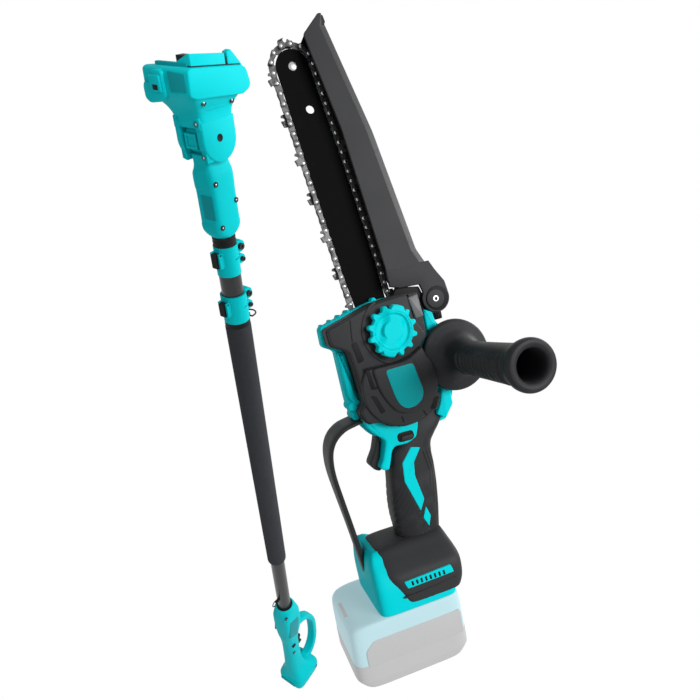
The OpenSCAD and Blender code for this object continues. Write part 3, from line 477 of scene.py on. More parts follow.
def inset(outline, distance):
    """Every point moves inwards along the mitre of its two edges: (n0 + n1) / (1 + n0.n1)."""
    edge = np.roll(outline, -1, 0) - outline
    edge /= np.maximum(np.linalg.norm(edge, axis=1), 1e-9)[:, None]
    n1 = np.stack([-edge[:, 1], edge[:, 0]], 1)
    n0 = np.roll(n1, 1, 0)
    mitre = (n0 + n1) / np.maximum(1 + (n0 * n1).sum(1), 0.5)[:, None]
    x, z = outline[:, 0], outline[:, 1]
    area = (x * np.roll(z, -1) - np.roll(x, -1) * z).sum()
    return outline + distance * np.sign(area) * mitre


def circle(x, z, r, n=64, start=0.0, end=360.0):
    """Points on an arc of radius r about (x, z)."""
    a = np.radians(np.linspace(start, end, n, endpoint=abs(end - start) < 360))
    return np.stack([x + r * np.cos(a), z + r * np.sin(a)], 1)


def plate_rings(outline, back, front, edge=1.0, back_edge=0.0, steps=4):
    """Outline in X and Z carried along Y; at an edge of radius e it shrinks by e(1 - cos a)."""
    sign = np.sign(front - back)
    a = np.linspace(0, math.pi / 2, steps)
    levels = [(back_edge * (1 - math.sin(t)), back + sign * back_edge * (1 - math.cos(t))) for t in a] \
        if back_edge else [(0.0, back)]
    levels += [(edge * (1 - math.cos(t)), front - sign * edge * (1 - math.sin(t))) for t in a]
    rings = []
    for shrink, y in levels:
        flat = inset(outline, shrink)
        rings.append(np.stack([flat[:, 0], np.full(len(flat), y), flat[:, 1]], 1))
    return np.array(rings)


def plate(name, points, back, front, slot="teal_shell", body="root", *stands_for, edge=1.0, back_edge=0.0,
          corner=2.0, steps=5, **how):
    """A moulded plate: a filleted outline with a rounded front edge."""
    outline = fillet(points, corner, steps) if corner else np.asarray(points, float)
    return rings_piece(name, plate_rings(outline, back, front, edge, back_edge), slot, body, *stands_for,
                       **how)


def lathe_rings(profile, n=72):
    """Profile of (radius, height) turned about Z."""
    a = np.linspace(0, TAU, n, endpoint=False)
    r, h = np.asarray(profile, float).T
    return np.stack([r[:, None] * np.cos(a), r[:, None] * np.sin(a), np.repeat(h[:, None], n, 1)], -1)


def facing_y(profile, n=72, side=-1):
    """A profile turned about Z and then laid over, so that its axis runs along -Y, or Y for side 1."""
    return lathe_rings(profile, n)[..., [0, 2, 1]] * (1, side, 1)


def smooth_path(points, n):
    """Catmull-Rom curve through the points, resampled to n, all columns together."""
    p = np.asarray(points, float)
    p = np.vstack([2 * p[0] - p[1], p, 2 * p[-1] - p[-2]])
    t = np.linspace(0, len(p) - 3 - 1e-9, n)
    k = t.astype(int)
    u = (t - k)[:, None]
    a, b, c, d = p[k], p[k + 1], p[k + 2], p[k + 3]
    return 0.5 * (2 * b + (c - a) * u + (2 * a - 5 * b + 4 * c - d) * u ** 2
                  + (3 * b - a - 3 * c + d) * u ** 3)


def soft(wave, power):
    """sgn(w) |w|^p: a cosine or sine whose curve is squarer for a small p."""
    return np.sign(wave) * np.abs(wave) ** power


def box_ring(x0, x1, y0, y1, z, power=4.0, n=72):
    """Superellipse |x/a|^p + |y/b|^p = 1 at height z: a rectangle with round corners for a large p."""
    a = np.linspace(0, TAU, n, endpoint=False)
    x = (x0 + x1) / 2 + (x1 - x0) / 2 * soft(np.cos(a), 2 / power)
    y = (y0 + y1) / 2 + (y1 - y0) / 2 * soft(np.sin(a), 2 / power)
    return np.stack([x, y, np.full(n, z)], 1)


def stack(sections, n_rings, n):
    """Superellipses (z, x0, x1, y0, y1, power) on a smooth path; y0 is -y1 where it is left out."""
    s = smooth_path([(*row[:-2], -row[-2], *row[-2:]) if len(row) == 5 else row for row in sections], n_rings)
    return np.array([box_ring(x0, x1, y0, y1, z, p, n) for z, x0, x1, y0, y1, p in s])


# %% [markdown]
# ## The saw chain
# A saw chain is a row of thin centre links and pairs of side plates, held by domed rivets. Every
# second pair carries a cutter: a side plate whose top is bent over into a cutting plate, with a
# depth gauge in front. Only three small shapes are drawn. Their places come from the length along the
# loop, and one array product sets them all down.

# %% Chain
BAR_LEN, NOSE_LINE, PITCH, TEETH = 276.0, 17.4, 8.25, 7
DRIVE_R = TEETH * PITCH / math.pi
RUN_A = math.asin((NOSE_LINE - DRIVE_R) / BAR_LEN)
RUN = BAR_LEN * math.cos(RUN_A)
ARC_NOSE, ARC_DRIVE = NOSE_LINE * (math.pi + 2 * RUN_A), DRIVE_R * (math.pi - 2 * RUN_A)
LOOP = 2 * RUN + ARC_NOSE + ARC_DRIVE
LINKS = 2 * round(LOOP / PITCH / 2)
LINK = LOOP / LINKS


def loop_at(s):
    """Place and heading at length s: up the front run, round the nose, down, round the sprocket."""
    ca, sa = math.cos(RUN_A), math.sin(RUN_A)
    s = np.asarray(s, float)
    g1 = math.pi + RUN_A - (s - RUN) / NOSE_LINE
    u2 = s - RUN - ARC_NOSE
    g3 = -RUN_A - (s - 2 * RUN - ARC_NOSE) / DRIVE_R
    part = [s < RUN, s < RUN + ARC_NOSE, s < 2 * RUN + ARC_NOSE]
    x = np.select(part, [-DRIVE_R * ca - s * sa, NOSE_LINE * np.cos(g1), NOSE_LINE * ca - u2 * sa],
                  DRIVE_R * np.cos(g3))
    z = np.select(part, [-DRIVE_R * sa + s * ca, BAR_LEN + NOSE_LINE * np.sin(g1),
                         BAR_LEN - NOSE_LINE * sa - u2 * ca], DRIVE_R * np.sin(g3))
    head = np.select(part, [np.full_like(s, math.pi / 2 + RUN_A), g1 - math.pi / 2,
                            np.full_like(s, -math.pi / 2 - RUN_A)], g3 - math.pi / 2)
    return x, z, head


def prism(outline, y0, y1, edge=0.18):
    """Small plate with chamfered rims, as points and faces."""
    rings = []
    for shrink, y in ((edge, y0), (0, y0 + edge), (0, y1 - edge), (edge, y1)):
        flat = inset(np.asarray(outline, float), shrink)
        rings.append(np.stack([flat[:, 0], np.full(len(flat), y), flat[:, 1]], 1))
    rings = np.array(rings)
    return rings.reshape(-1, 3), ring_faces(*rings.shape[:2])


def join(*parts):
    """Several (points, faces) as one."""
    points, faces, start = [], [], 0
    for p, f in parts:
        points.append(p)
        faces += [[v + start for v in face] for face in f]
        start += len(p)
    return np.vstack(points), faces


def spread(part, s):
    """The part once at every length s, turned to the loop's heading there: R(head) p + place."""
    points, faces = part
    x, z, head = loop_at(s)
    c, d = np.cos(head)[:, None], np.sin(head)[:, None]
    px, py, pz = points.T
    out = np.stack([x[:, None] + c * px - d * pz, np.broadcast_to(py, (len(s), len(py))),
                    z[:, None] + d * px + c * pz], -1)
    n = len(points)
    return out.reshape(-1, 3), [[v + k * n for v in face] for k in range(len(s)) for face in faces]


def dome(x, y, side, r=1.55, h=0.7):
    """Rivet head: a low dome on the face at y."""
    profile = [(r, 0), (r, 0.25 * h), (0.8 * r, 0.75 * h), (0.35 * r, h), (0.02, h)]
    rings = facing_y(profile, 12, side) + (x, y, 0)
    return rings.reshape(-1, 3), ring_faces(*rings.shape[:2])


HALF = LINK / 2
waist = fillet([(-HALF - 2.2, -2.1), (-HALF, -2.5), (0, -1.5), (HALF, -2.5), (HALF + 2.2, -2.1),
                (HALF + 2.2, 2.1), (HALF, 2.5), (0, 1.7), (-HALF, 2.5), (-HALF - 2.2, 2.1)], 1.4, 3)
drive = fillet([(-HALF - 1.9, 2.0), (-HALF - 2.0, -1.8), (-2.4, -2.2), (-1.0, -5.6), (1.6, -5.2), (2.6, -2.2),
                (HALF + 2.0, -1.8), (HALF + 1.9, 2.0), (0, 2.6)], 1.0, 3)
heads = join(*[dome(e * HALF, side * 2.25, side) for e in (-1, 1) for side in (-1, 1)])
side_pair = join(prism(waist, -2.3, -1.25), prism(waist, 1.25, 2.3))
centre_link = join(prism(drive, -0.75, 0.75, 0.12))
cutter_side = [(-5.2, -2.1), (-4.2, -2.5), (0, -1.6), (4.2, -2.5), (5.2, -2.0), (5.4, 2.0), (4.9, 5.0),
               (3.2, 5.6), (2.2, 3.0), (0.6, 2.6), (-0.4, 5.9), (-5.0, 5.1), (-5.5, 2.2)]
cutter_top = [(-5.0, 4.5), (-5.0, 5.2), (-0.2, 6.3), (-0.4, 5.5)]


def cutter(side):
    """Cutter with its side plate on one side and its top plate bent over the centre."""
    y = sorted((side * 1.25, side * 2.3))
    top = sorted((side * 2.3, side * -1.1))
    other = sorted((-side * 1.25, -side * 2.3))
    return join(prism(fillet(cutter_side, 0.8, 3), *y), prism(cutter_top, *top, edge=0.1),
                prism(waist, *other))


at_link = (np.arange(LINKS) + 0.5) * LINK
pairs = np.arange(0, LINKS, 2)
left, right_ = pairs[pairs % 8 == 0], pairs[pairs % 8 == 4]
plain = pairs[pairs % 4 == 2]
links = join(spread(side_pair, at_link[plain]), spread(centre_link, at_link[1::2]))
teeth = join(spread(cutter(-1), at_link[left]), spread(cutter(1), at_link[right_]))
put("chain_links", *links, "chain_steel", "root", "chain_straps", place=bar_place, sharp=40)
put("chain_rivets", *spread(heads, at_link[pairs]), "steel", "root", place=bar_place, sharp=40)
put("chain_teeth", *teeth, "chain_steel", "root", "chain_cutters", place=bar_place, sharp=40)

# %% [markdown]
# ## The cover
# The side cover is a nylon plate over the sprocket, with a drum on its lower part and a smooth raised
# panel shaped like a D, which carries a bare coloured field. A bevel closes its upper right corner, its
# face painted paler as a painted highlight, a raised border runs round the knob, and black slots and
# cut marks sit round the drum. Black plates of painted shade lie along the drum's top edge, in a
# recess at its lower right and in a band and a thin step line on the left.

# %% Cover
COVER = [
    (-58.5, 42), (-59.5, 56.5), (-37, 63.5), (-17, 70), (8, 72.5), (25.5, 72), (27.5, 52), (28.5, 34),
    (20, 28), (14, 0), (24, -14), (31, -19), (26, -31), (10, -38.5), (-7, -40), (-22, -36), (-28, -30.5),
    (-39, -30), (-43, -25), (-45, -18), (-39.5, -11), (-42, 20), (-44.5, 35),
]
UPPER = [
    (-57.5, 43), (-58.5, 55.5), (-37, 62.5), (-17, 69), (8, 71.5), (16, 71.5), (18, 50), (27, 33), (20, 28),
    (14, 0), (24, -14), (30, -18.5), (25, -30), (10, -37.5), (-7, -39), (-22, -35), (-28, -29.5), (-38, -29),
    (-42, -24), (-44, -18), (-38.5, -11), (-41, 20), (-43.5, 35),
]
plate("cover_base", COVER, -10.3, -24.0, "dark_shell", "root", "side_cover", edge=1.2, corner=3)
plate("cover_face", UPPER, -22.0, -28.0, "dark_shell", "root", edge=1.6, corner=3)
facet = np.array([[(16.5, -20, 71), (26, -20, 71.5), (27.3, -20, 51), (18.3, -20, 49.5)],
                  [(16.5, -27.9, 71), (26, -24.3, 71.5), (27.3, -24.3, 51), (18.3, -27.9, 49.5)]], float)
rings_piece("cover_facet", facet, "dark_shell", "root")
# The bevel's face is painted paler than the cover, a painted highlight for the light its slope catches.
painted_highlight_facet = moulded("painted_highlight_facet", (0.085, 0.087, 0.09), (0.11, 0.112, 0.115), 0.5, 0.7, 0.06)
plate("cover_facet_face", [(15.5, 68.5), (24.8, 70.3), (26.6, 50.5), (19.0, 49.6)], -24, -28.5, "dark_shell",
      "root", edge=1.0, corner=1, material=painted_highlight_facet)
KNOB_Z = 45.0
border = np.vstack([circle(0, KNOB_Z, 30.5, 40, 118, 262), circle(0, KNOB_Z, 27.5, 40, 262, 118)])
rings_piece("knob_border", plate_rings(border, -27, -28.9, 0.5), "dark_shell", "root")
drum = np.vstack([circle(-6, -3, 34.2, 48, 144, 396), [(19, 25.5), (9, 20.3), (-4, 17.4), (-15, 17.2)]])
plate("cover_drum", drum, -26, -31.0, "dark_shell", "root", edge=1.6, corner=0)
D_PANEL = [
    (-29, 17), (0, 17.4), (8, 20), (12, 8), (14, -8), (12.5, -15), (8, -22), (0, -26.5), (-7, -27),
    (-15, -23), (-22, -12), (-26, -2),
]
plate("cover_panel", D_PANEL, -29, -33.6, "dark_shell", "root", edge=1.8, corner=4)
FIELD = [(-18, 13.5), (7, 14.5), (12, -11), (9.5, -18), (2, -22.5), (-6, -22.5), (-11, -18), (-14, -10)]
label = moulded("label_field", (0.0, 0.31, 0.33), (0.0, 0.33, 0.35), 0.5, 1.0, 0.01, 0.7, 0.1)
plate("label_field", FIELD, -32, -33.95, edge=0.3, corner=3, material=label)
# Two black plates painted as shade: a band on the cover's left where the shell lies in shade, and a thin line
# for the shade under a slight step.
COLUMN_SHADE = {
    "recess": ([(-41.0, 41), (-36.0, 42), (-32.5, 25), (-38.3, 23.5)], 1.0),
    "line": ([(-38.4, 60.5), (-37.4, 60.5), (-39.2, 42), (-40.2, 42)], 0.3),
}
for name, (shape, corner) in COLUMN_SHADE.items():
    plate("shade_column_" + name, shape, -26, -28.15, "black_plastic", "root", edge=0.2, corner=corner, steps=3)
# Black plates: slots, cut marks and a tick, and two of painted shade: the plate at the drum's lower right
# stands for the shadow in a recess, and the thin strip along the drum's top edge for the shade under that
# edge.
MARKS = {
    "slot_c": [(21.2, -20), (25.6, -20.2), (20.4, -30.2), (16.8, -28.0)],
    "slot_a": [(-34.5, 17), (-31, 17), (-28.5, -0.5), (-32.5, 0)],
    "slot_b": [(-34, -5), (-29.5, -6), (-24, -20.5), (-28, -22)],
    "mark_a": [(-11.5, -28.5), (-9.8, -28.5), (-9.2, -34), (-10.6, -34)],
    "mark_b": [(8.6, -28), (10, -28.6), (12.4, -33), (11.2, -33.6)],
    "tick_a": [(-29.2, 1.2), (-26, 1.4), (-26.5, -0.4), (-29, -0.4)],
    "seam": [(-34.5, 18.6), (-15, 18.4), (-4, 18.6), (9, 21.6), (19, 27), (19.4, 26), (9.3, 20.5),
        (-4, 17.5), (-15, 17.3), (-34.5, 17.5)],
}
for name, shape in MARKS.items():
    plate("cover_" + name, shape, -30, -31.25, "black_plastic", "root", edge=0.2, corner=0.5, steps=3)

# %% [markdown]
# ## The knob
# The tensioning knob is one moulding: a rim with twelve teeth, a dished face and a wing across it that
# the fingers turn. Its front is a height over polar coordinates, so the wing melts into the disc.

# %% Knob
KNOB_ROOT, KNOB_TOOTH, KNOB_TEETH, KNOB_FACE = 18.4, 3.4, 12, 37.0


def knob_rings(n=280, m=44):
    """r = s R(a), with R(a) the root radius plus a rounded tooth wave; y is the height over r and a."""
    a = np.linspace(0, TAU, n, endpoint=False)
    tooth = step_(np.cos(KNOB_TEETH * a - math.radians(48)), -0.45, 1.0)
    wing_dir = math.radians(60)
    near_wing = step_(np.abs(np.cos(a - wing_dir)), 0.93, 0.985)
    rim = KNOB_ROOT + KNOB_TOOTH * np.maximum(tooth, near_wing)
    s = np.concatenate([np.linspace(0.02, 0.93, m - 4), [0.955, 0.975, 0.99, 1.0]])[:, None]
    r = s * rim
    x, z = r * np.cos(a), r * np.sin(a)
    across = np.abs(-x * math.sin(wing_dir) + z * math.cos(wing_dir))
    wing = 1 - step_(across, 2.6 + 0.014 * r ** 2, 8.6 + 0.016 * r ** 2)
    disc = 1 - step_(r, 8.2, 9.6)
    ring = np.exp(-((r - 16.2) / 0.5) ** 2)
    dish, raised = 1 - step_(r, 13.5, 15.5), np.maximum(wing * (1 - 0.35 * step_(r, 12, 21)), disc)
    height = KNOB_FACE - 2.4 * dish + 3.6 * raised - 0.7 * ring
    height -= 1.4 * step_(s + 0 * a, 0.94, 1.0) ** 2
    face = np.stack([x, -height, z], -1)[::-1]
    wall = np.stack([face[0] * (1, 0, 1) + (0, y, 0) for y in (-31.9, -32.9)])
    hub = np.stack([face[0] * (f, 0, f) + (0, y, 0) for f, y in ((0.02, -29.3), (0.5, -29.3), (0.5, -31.9))])
    return np.concatenate([hub, wall, face])


rings_piece("knob", knob_rings() + (0, 0, KNOB_Z), "teal_shell", "knob", "cover_knob", place=bar_place,
            sharp=50)

# %% [markdown]
# ## The saw's body
# The turquoise body shows as a rim round the cover, with the motor's barrel behind. It is one thick
# plate with soft edges. A bumper with small teeth stands on its top edge, a bead with two bumps runs
# down its front, a cheek lies below the drum, and a black plate fills the dark gap at the guard's hinge.

# %% Body
RIM = [
    (-61, 58), (-61, 41.5), (-51, 36), (-50, -8), (-48, -24), (-34, -44), (-10, -50), (16, -49), (38, -47),
    (45, -34), (49, -24), (54, -6), (52, 30), (44, 44), (42, 56), (30, 68), (27, 72), (-11, 71.5), (-34, 66),
]
rings_piece("body_rim", plate_rings(fillet(RIM, 3.0), 3, -10, 1.2, 1.2), "teal_shell", "root", "housing_rear",
            "housing_front")
BODY = [
    (-50, 50), (-49, 40), (-42, 34), (-41, -8), (-40, -22), (-27, -40), (-6, -46), (16, -45), (34, -43),
    (40, -34), (44, -24), (49, -6), (48, 26), (38, 42), (30, 56), (18, 62), (-11, 63), (-32, 57),
]
rings_piece("saw_body", plate_rings(fillet(BODY, 4.0), 2, 48, 6.0))
BARREL = [(0.5, 47), (30, 47), (30, 56), (29, 59), (26, 60.2), (14, 60.4), (13.4, 59.2), (0.5, 59.2)]
rings_piece("motor_barrel", facing_y(BARREL, side=1))
for k, angle in enumerate(np.radians(np.arange(0, 360, 45))):
    c, s = math.cos(angle), math.sin(angle)
    slot_plan = np.array([(16, -1.7), (26, -1.7), (26, 1.7), (16, 1.7)]) @ np.array([[c, s], [-s, c]])
    plate(f"barrel_slot_{k}", slot_plan, 59.5, 60.5, "black_plastic", "root", edge=0.2, corner=1.2)
bead = [(-51.5, 35), (-43.5, 33.5), (-41, -4), (-36, -12), (-43, -14), (-48.5, -6)]
plate("front_bead", bead, -4, -14.5, edge=2.6, corner=2.5)
for k, (x, z, r) in enumerate([(-45.8, -14, 4.6), (-45.0, -22.4, 4.0)]):
    plate(f"front_bump_{k}", circle(x, z, r, 32), 4, -13.5, edge=2.0, corner=0)
for k, x in enumerate(np.linspace(-57, -33, 4)):
    z = 57.5 + (x + 60) * 0.33
    plate(f"bumper_{k}", [(x - 2.2, z - 2), (x + 2.4, z - 1.2), (x + 1.2, z + 1.9), (x - 0.6, z + 1.4)], 6,
          -9, edge=0.8, corner=1.0)
plate("top_stud", circle(-8.2, 71.6, 2.4, 24), 4, -9, edge=1.2, corner=0)
plate("rear_strip", [(33, 55), (41, 52), (43, 38), (38, 33), (33, 36)], -8, -15, edge=1.6, corner=2)
plate("rear_cheek", [(36, -18), (43.5, -20), (44.6, -33), (35.5, -44.5), (27, -39), (32, -31)], -6, -16,
      edge=1.4, corner=1.5)
# A black plate fills the dark gap between the cover's top and the guard's hinge.
plate("hinge_fill_plate", [(7.5, 70), (13, 79), (34, 75.5), (39.5, 58), (40, 52), (34, 52), (29, 60), (27, 68)],
      -8.5, -12.2, "black_plastic", "root", edge=0.6, corner=1.0)

# %% Ribbed cap beside the guard's hinge
a = np.linspace(0, TAU, 144, endpoint=False)
knurl = 8.2 + 0.45 * np.cos(24 * a)
cap_rings = np.array([np.stack([49 + r * knurl * np.cos(a), 5 + r * knurl * np.sin(a), np.full(144, z)], 1)
                      for r, z in [(0.05, 42.5), (0.95, 42.5), (1, 43), (1, 48.4), (0.95, 49.2), (0.8, 49.6),
                                   (0.05, 49.7)]])
rings_piece("ribbed_cap", cap_rings, "black_plastic", "cap", "oil_cap", sharp=50)

# %% [markdown]
# ## Trigger, frame and lock button
# Below the cover the turquoise body narrows to a frame round the trigger. The trigger is a curved
# lever with a hollow front for the finger, and a sliding lock button sits in an oblong slot above it.

# %% Trigger
FRAME = [
    (-43, -24), (-39, -34), (-33, -42), (-25, -49), (-26, -54), (-30.5, -66), (-34.5, -72), (-31, -75.5),
    (-26.5, -76), (-23.5, -69), (-20.5, -60), (-17, -57), (-5, -57.5), (4, -54), (7, -46), (10, -34),
    (0, -26), (-25, -22),
]
rings_piece("trigger_frame", plate_rings(fillet(FRAME, 2.6), 17, -17, 2.2, 2.2))
LOCK_SLOT = fillet([(-14, -54.6), (1.8, -54.6), (1.8, -46), (-14, -46)], 4.2, 6)
rings_piece("lock_slot", plate_rings(LOCK_SLOT, -16, -17.15, 0.3), "black_plastic", "root")
plate("lock_button", [(-10.6, -53.6), (0.6, -53.6), (0.6, -49.2), (-10.6, -49.2)], -12, -18.6, "dark_shell",
      "trigger_lock", "saw_lock_button", edge=0.8, corner=2.2)
TRIGGER = [
    (-29, -46), (-31, -52), (-34, -60), (-39, -67.5), (-40.2, -70.5), (-37.5, -75), (-33, -77.4),
    (-30.5, -76.5), (-29.5, -60), (-27, -46),
]
rings_piece("trigger", plate_rings(fillet(TRIGGER, 2.4), 7, -8, 1.2, 1.2), "dark_shell", "trigger",
            "saw_trigger")

# %% [markdown]
# ## The rubber grip
# The grip is a core with a rubber skin, soft and slightly waisted. It is a stack of superellipses:
# each ring has its own front and rear edge, so the stack follows the hand. Ridges are a height added
# along the surface: slanted ones where the fingers close, fine lines beside the inlay.

# %% Grip
GRIP = [
    (-36, -2, 33, 13, 3), (-43, -4, 34.5, 15, 3), (-49, -6, 31, 16, 3), (-56, -12, 25, 16.4, 3),
    (-63, -20.5, 20.3, 16.8, 3), (-72, -22.8, 19, 17, 3), (-84, -24.5, 19.2, 17, 3),
    (-99, -26.4, 18.6, 17, 3), (-112, -28, 17.4, 17, 3), (-124, -28.4, 16, 16.8, 3),
    (-136, -27.6, 14, 16.4, 3), (-147, -26.4, 12, 16.4, 3),
]
GRIP_Z = -88.0


def grip_rings(n_rings=300, n=420):
    """Ring point plus outward direction times ridge height h(x, z)."""
    rings = stack(GRIP, n_rings, n)
    x, y, z = np.moveaxis(rings, -1, 0)
    mid = (x.max(1) + x.min(1))[:, None] / 2
    out = np.stack([(x - mid) / 22, y / 17], -1)
    out /= np.maximum(np.linalg.norm(out, axis=-1), 1e-6)[..., None]
    edge_line = -15.5 - 0.31 * (z - GRIP_Z)
    low = step_(edge_line - x, 0, 2) * step_(-z, 92, 100) * (1 - step_(-z, 141, 146))
    slant = np.cos(TAU * (z * 0.9 - 1.15 * x) / 5.4)
    fingers = low * step_(slant, -0.2, 0.5) * 0.45
    rear = step_(x - (7 - 0.06 * (z - GRIP_Z)), 0, 1.2) * step_(-z, 66, 70) * (1 - step_(-z, 128, 134))
    lines = rear * step_(np.cos(TAU * (x + 0.16 * np.abs(z - GRIP_Z)) / 3.4), 0.55, 0.9) * -0.7
    side = step_(np.abs(y), 6, 10)
    height = (fingers + lines) * side
    rings[..., 0] += out[..., 0] * height
    rings[..., 1] += out[..., 1] * height
    return rings


rings_piece("grip_skin", grip_rings(), "grip_rubber_dark", "root", "grip_rubber", sharp=60)


def on_grip(outline, lift=0.9, power=3.0):
    """Thickness of the grip at (x, z): b (1 - |u|^p)^(1/p), plus a lift."""
    order = np.argsort([s[0] for s in GRIP])
    z = np.array([GRIP[k][0] for k in order], float)
    x0, x1, b = (np.interp(outline[:, 1], z, [GRIP[k][c] for k in order]) for c in (1, 2, 3))
    u = np.clip(np.abs((outline[:, 0] - (x0 + x1) / 2) / ((x1 - x0) / 2)), 0, 0.995)
    return b * (1 - u ** power) ** (1 / power) + lift


def inlay(name, points, side):
    """A thin patch that follows the grip's side."""
    outline = fillet(points, 1.2, 4)
    y = on_grip(outline)
    rings = [np.stack([f[:, 0], side * (y - drop), f[:, 1]], 1) for f, drop in
             ((outline, 2.5), (outline, 0.35), (inset(outline, 0.35), 0))]
    rings_piece(name, rings, sharp=30)


INLAYS = {
    "inlay_long": [(-3.4, -61), (5.0, -63.5), (-3.4, -75), (-4.8, -87), (-0.4, -110), (-5.6, -120),
        (-15.0, -90), (-13.6, -73)],
    "inlay_gem": [(-0.2, -117), (2.8, -127), (-0.2, -136.5), (-4.4, -127)],
}
for name, shape in INLAYS.items():
    inlay(name + "_front", shape, -1)
    inlay(name + "_rear", shape, 1)

# %% [markdown]
# ## The foot and its battery
# The grip flares into a dark block, which sits in a turquoise base with the battery's rails. A vent
# strip lies in the block's front. The battery slides on from the front. It is a pale case with
# chamfered lower corners and a bare field on each side.

# %% Foot
BASE = [
    (-192, -64, 8, -37.5, 37.5, 9), (-190.5, -64.6, 8.4, -38, 38, 9), (-174, -65, 8.4, -38, 38, 9),
    (-166, -64.8, 2, -36.5, 38, 9), (-158, -64, -20, -32.5, 37.4, 8), (-151, -62.8, -40, -26.5, 35.6, 7),
    (-146, -60.6, -49, -22, 31, 6), (-143.4, -58, -51, -18, 25, 5),
]
rings_piece("foot_base", stack(BASE, 40, 96))
BLOCK = [
    (-187, -36, 9, 38.4, 9), (-185.5, -41, 13, 39.2, 9), (-178, -45.5, 16.5, 39.4, 9),
    (-168, -50.5, 17.6, 39, 9), (-161, -53.5, 17.4, 37, 9), (-155, -54.4, 16, 32, 9),
    (-149, -54.6, 14, 26, 9), (-144.6, -54.4, 12.6, 22, 8), (-142.6, -52, 12, 19.5, 7),
    (-141.4, -46, 11.6, 17, 6),
]
rings_piece("foot_block", stack(BLOCK, 60, 120), "dark_shell", "root", "foot_block", sharp=50)
plate("vent_strip", [(-40, -166), (4, -164.5), (6, -171.5), (-37.5, -172.5)], -37.5, -39.9, "teal_shell",
      "root", "vent_strip", edge=0.5, corner=1.2)
for k in range(8):
    x = -33.5 + 4.2 * k
    plate(f"vent_slot_{k}", [(x, -171), (x + 1.9, -171), (x + 1.5, -166.8), (x - 0.4, -166.8)], -39, -40.05,
          "black_plastic", "root", edge=0.15, corner=0.7)
plate("foot_lip", [(-43, -178.5), (8, -176.5), (8, -178), (-42, -180.3)], -39, -40.0, "dark_shell", "root",
      edge=0.5, corner=0.5)

# %% Battery
PACK_TOP = [
    (-192.4, -72, 8, -34, 38, 9), (-193.6, -86, 9.4, -37.2, 40, 9), (-197, -92.6, 10, -38, 41, 9),
    (-205, -94.6, 10.4, -38, 41.4, 9), (-228, -95, 10.4, -38, 41.4, 9),
]
# Both battery shells carry a painted glow from their finish, which lifts the shade on their tops.
rings_piece("pack_top", stack(PACK_TOP, 40, 96), "pale_teal_shell", "battery", "battery_top")
PACK_LOW = [
    (-227.9, -95.2, 10.6, -38.2, 41.6, 9), (-240, -95.2, 10.4, -38, 41.4, 9),
    (-243, -94.6, 9.4, -37.8, 41, 9), (-249, -89, 4, -36.4, 38, 9), (-250, -86, 1.6, -35.2, 36, 9),
]
rings_piece("pack_bottom", stack(PACK_LOW, 30, 96), "pale_grey_shell", "battery", "battery_bottom")
PACK_FIELD = [(-84, -229), (-84, -215), (-76, -207.4), (5.5, -207.4), (5.5, -229)]
for name, back_y, front_y in (("pack_panel", -36, -38.5), ("pack_panel_rear", 38, 41.9)):
    plate(name, PACK_FIELD, back_y, front_y, "pale_grey_shell", "battery", edge=0.5, corner=2.5)

# %% [markdown]
# ## The hand guard
# The guard is a springy strap from the body to the foot: wide at its shoulder, narrow at its foot.
# A flat section with round edges is carried along a smooth path.

# %% Hand guard
STRAP = [
    (-38, -27.5, 31), (-47, -29, 31.5), (-58, -31.5, 32), (-67, -37.5, 31.5), (-72.5, -46.5, 30),
    (-74.6, -58, 28), (-74.4, -72, 25.5), (-71.6, -94, 21), (-68, -120, 16.5), (-64.5, -148, 13),
    (-62.2, -166, 11.5),
]


def strap_rings(n=120, m=40, half_thick=2.5):
    """Centre c(s) + normal times a superellipse's short side + Y times its long side."""
    path = smooth_path(STRAP, n)
    along = np.gradient(path[:, :2], axis=0)
    along /= np.linalg.norm(along, axis=1)[:, None]
    normal = np.stack([along[:, 1], -along[:, 0]], 1)
    a = np.linspace(0, TAU, m, endpoint=False)
    x, z = (path[:, k, None] + normal[:, k, None] * half_thick * soft(np.sin(a), 0.7) for k in (0, 1))
    y = path[:, 2, None] / 2 * soft(np.cos(a), 0.45)
    return np.stack([x, y, z], -1)


rings_piece("hand_guard", strap_rings(), "grip_rubber_dark", "root", "hand_guard", sharp=60)

# %% [markdown]
# ## The side handle
# The second handle is a rubber-covered tube with a broad flange against the body. Short ridges run
# round its lower side, and its open end has a thick round rim.

# %% Side handle
def side_handle_rings(n=240):
    """Profile (radius, height) turned about the handle's axis, plus ridges on the lower half."""
    outer = smooth_path([(25, 0), (31, 0.6), (31.6, 3), (30.5, 5.6), (26, 7.6), (21, 10), (17.2, 14),
                         (15, 20), (14, 30), (13.6, 45), (13.8, 62), (14.2, 80), (14.8, 98), (16, 106),
                         (18.2, 111), (19.3, 114.5), (19.4, 118), (18.4, 120.2), (16.4, 120.9)], 200)
    inner = np.array([(13.6, 120.4), (12.4, 119), (11.6, 115), (11.6, 50), (0.1, 50)])
    profile = np.vstack([[(0.1, 0)], outer, inner])
    rings = lathe_rings(profile, n)
    a = np.arctan2(rings[..., 1], rings[..., 0])
    h, r = rings[..., 2], np.hypot(rings[..., 0], rings[..., 1])
    lower = step_(np.cos(a - math.radians(-125)), -0.1, 0.3)
    ridge = step_(np.cos(TAU * h / 6.4), -0.5, 0.3) * step_(h, 26, 32) * (1 - step_(h, 98, 104)) * (r > 13.2)
    grow = 1 + lower * ridge * 1.9 / np.maximum(r, 1)
    rings[..., 0] *= grow
    rings[..., 1] *= grow
    return rings


def side_place(points):
    """Handle axis Z to the saw's -Y, at the handle's seat."""
    p = np.asarray(points, float)
    return saw(np.stack([51.5 + p[:, 0], -20.6 - p[:, 2], 10.5 + p[:, 1]], 1))


rings_piece("side_handle", side_handle_rings(), "grip_rubber_dark", "root", "side_handle", place=side_place,
            sharp=60)

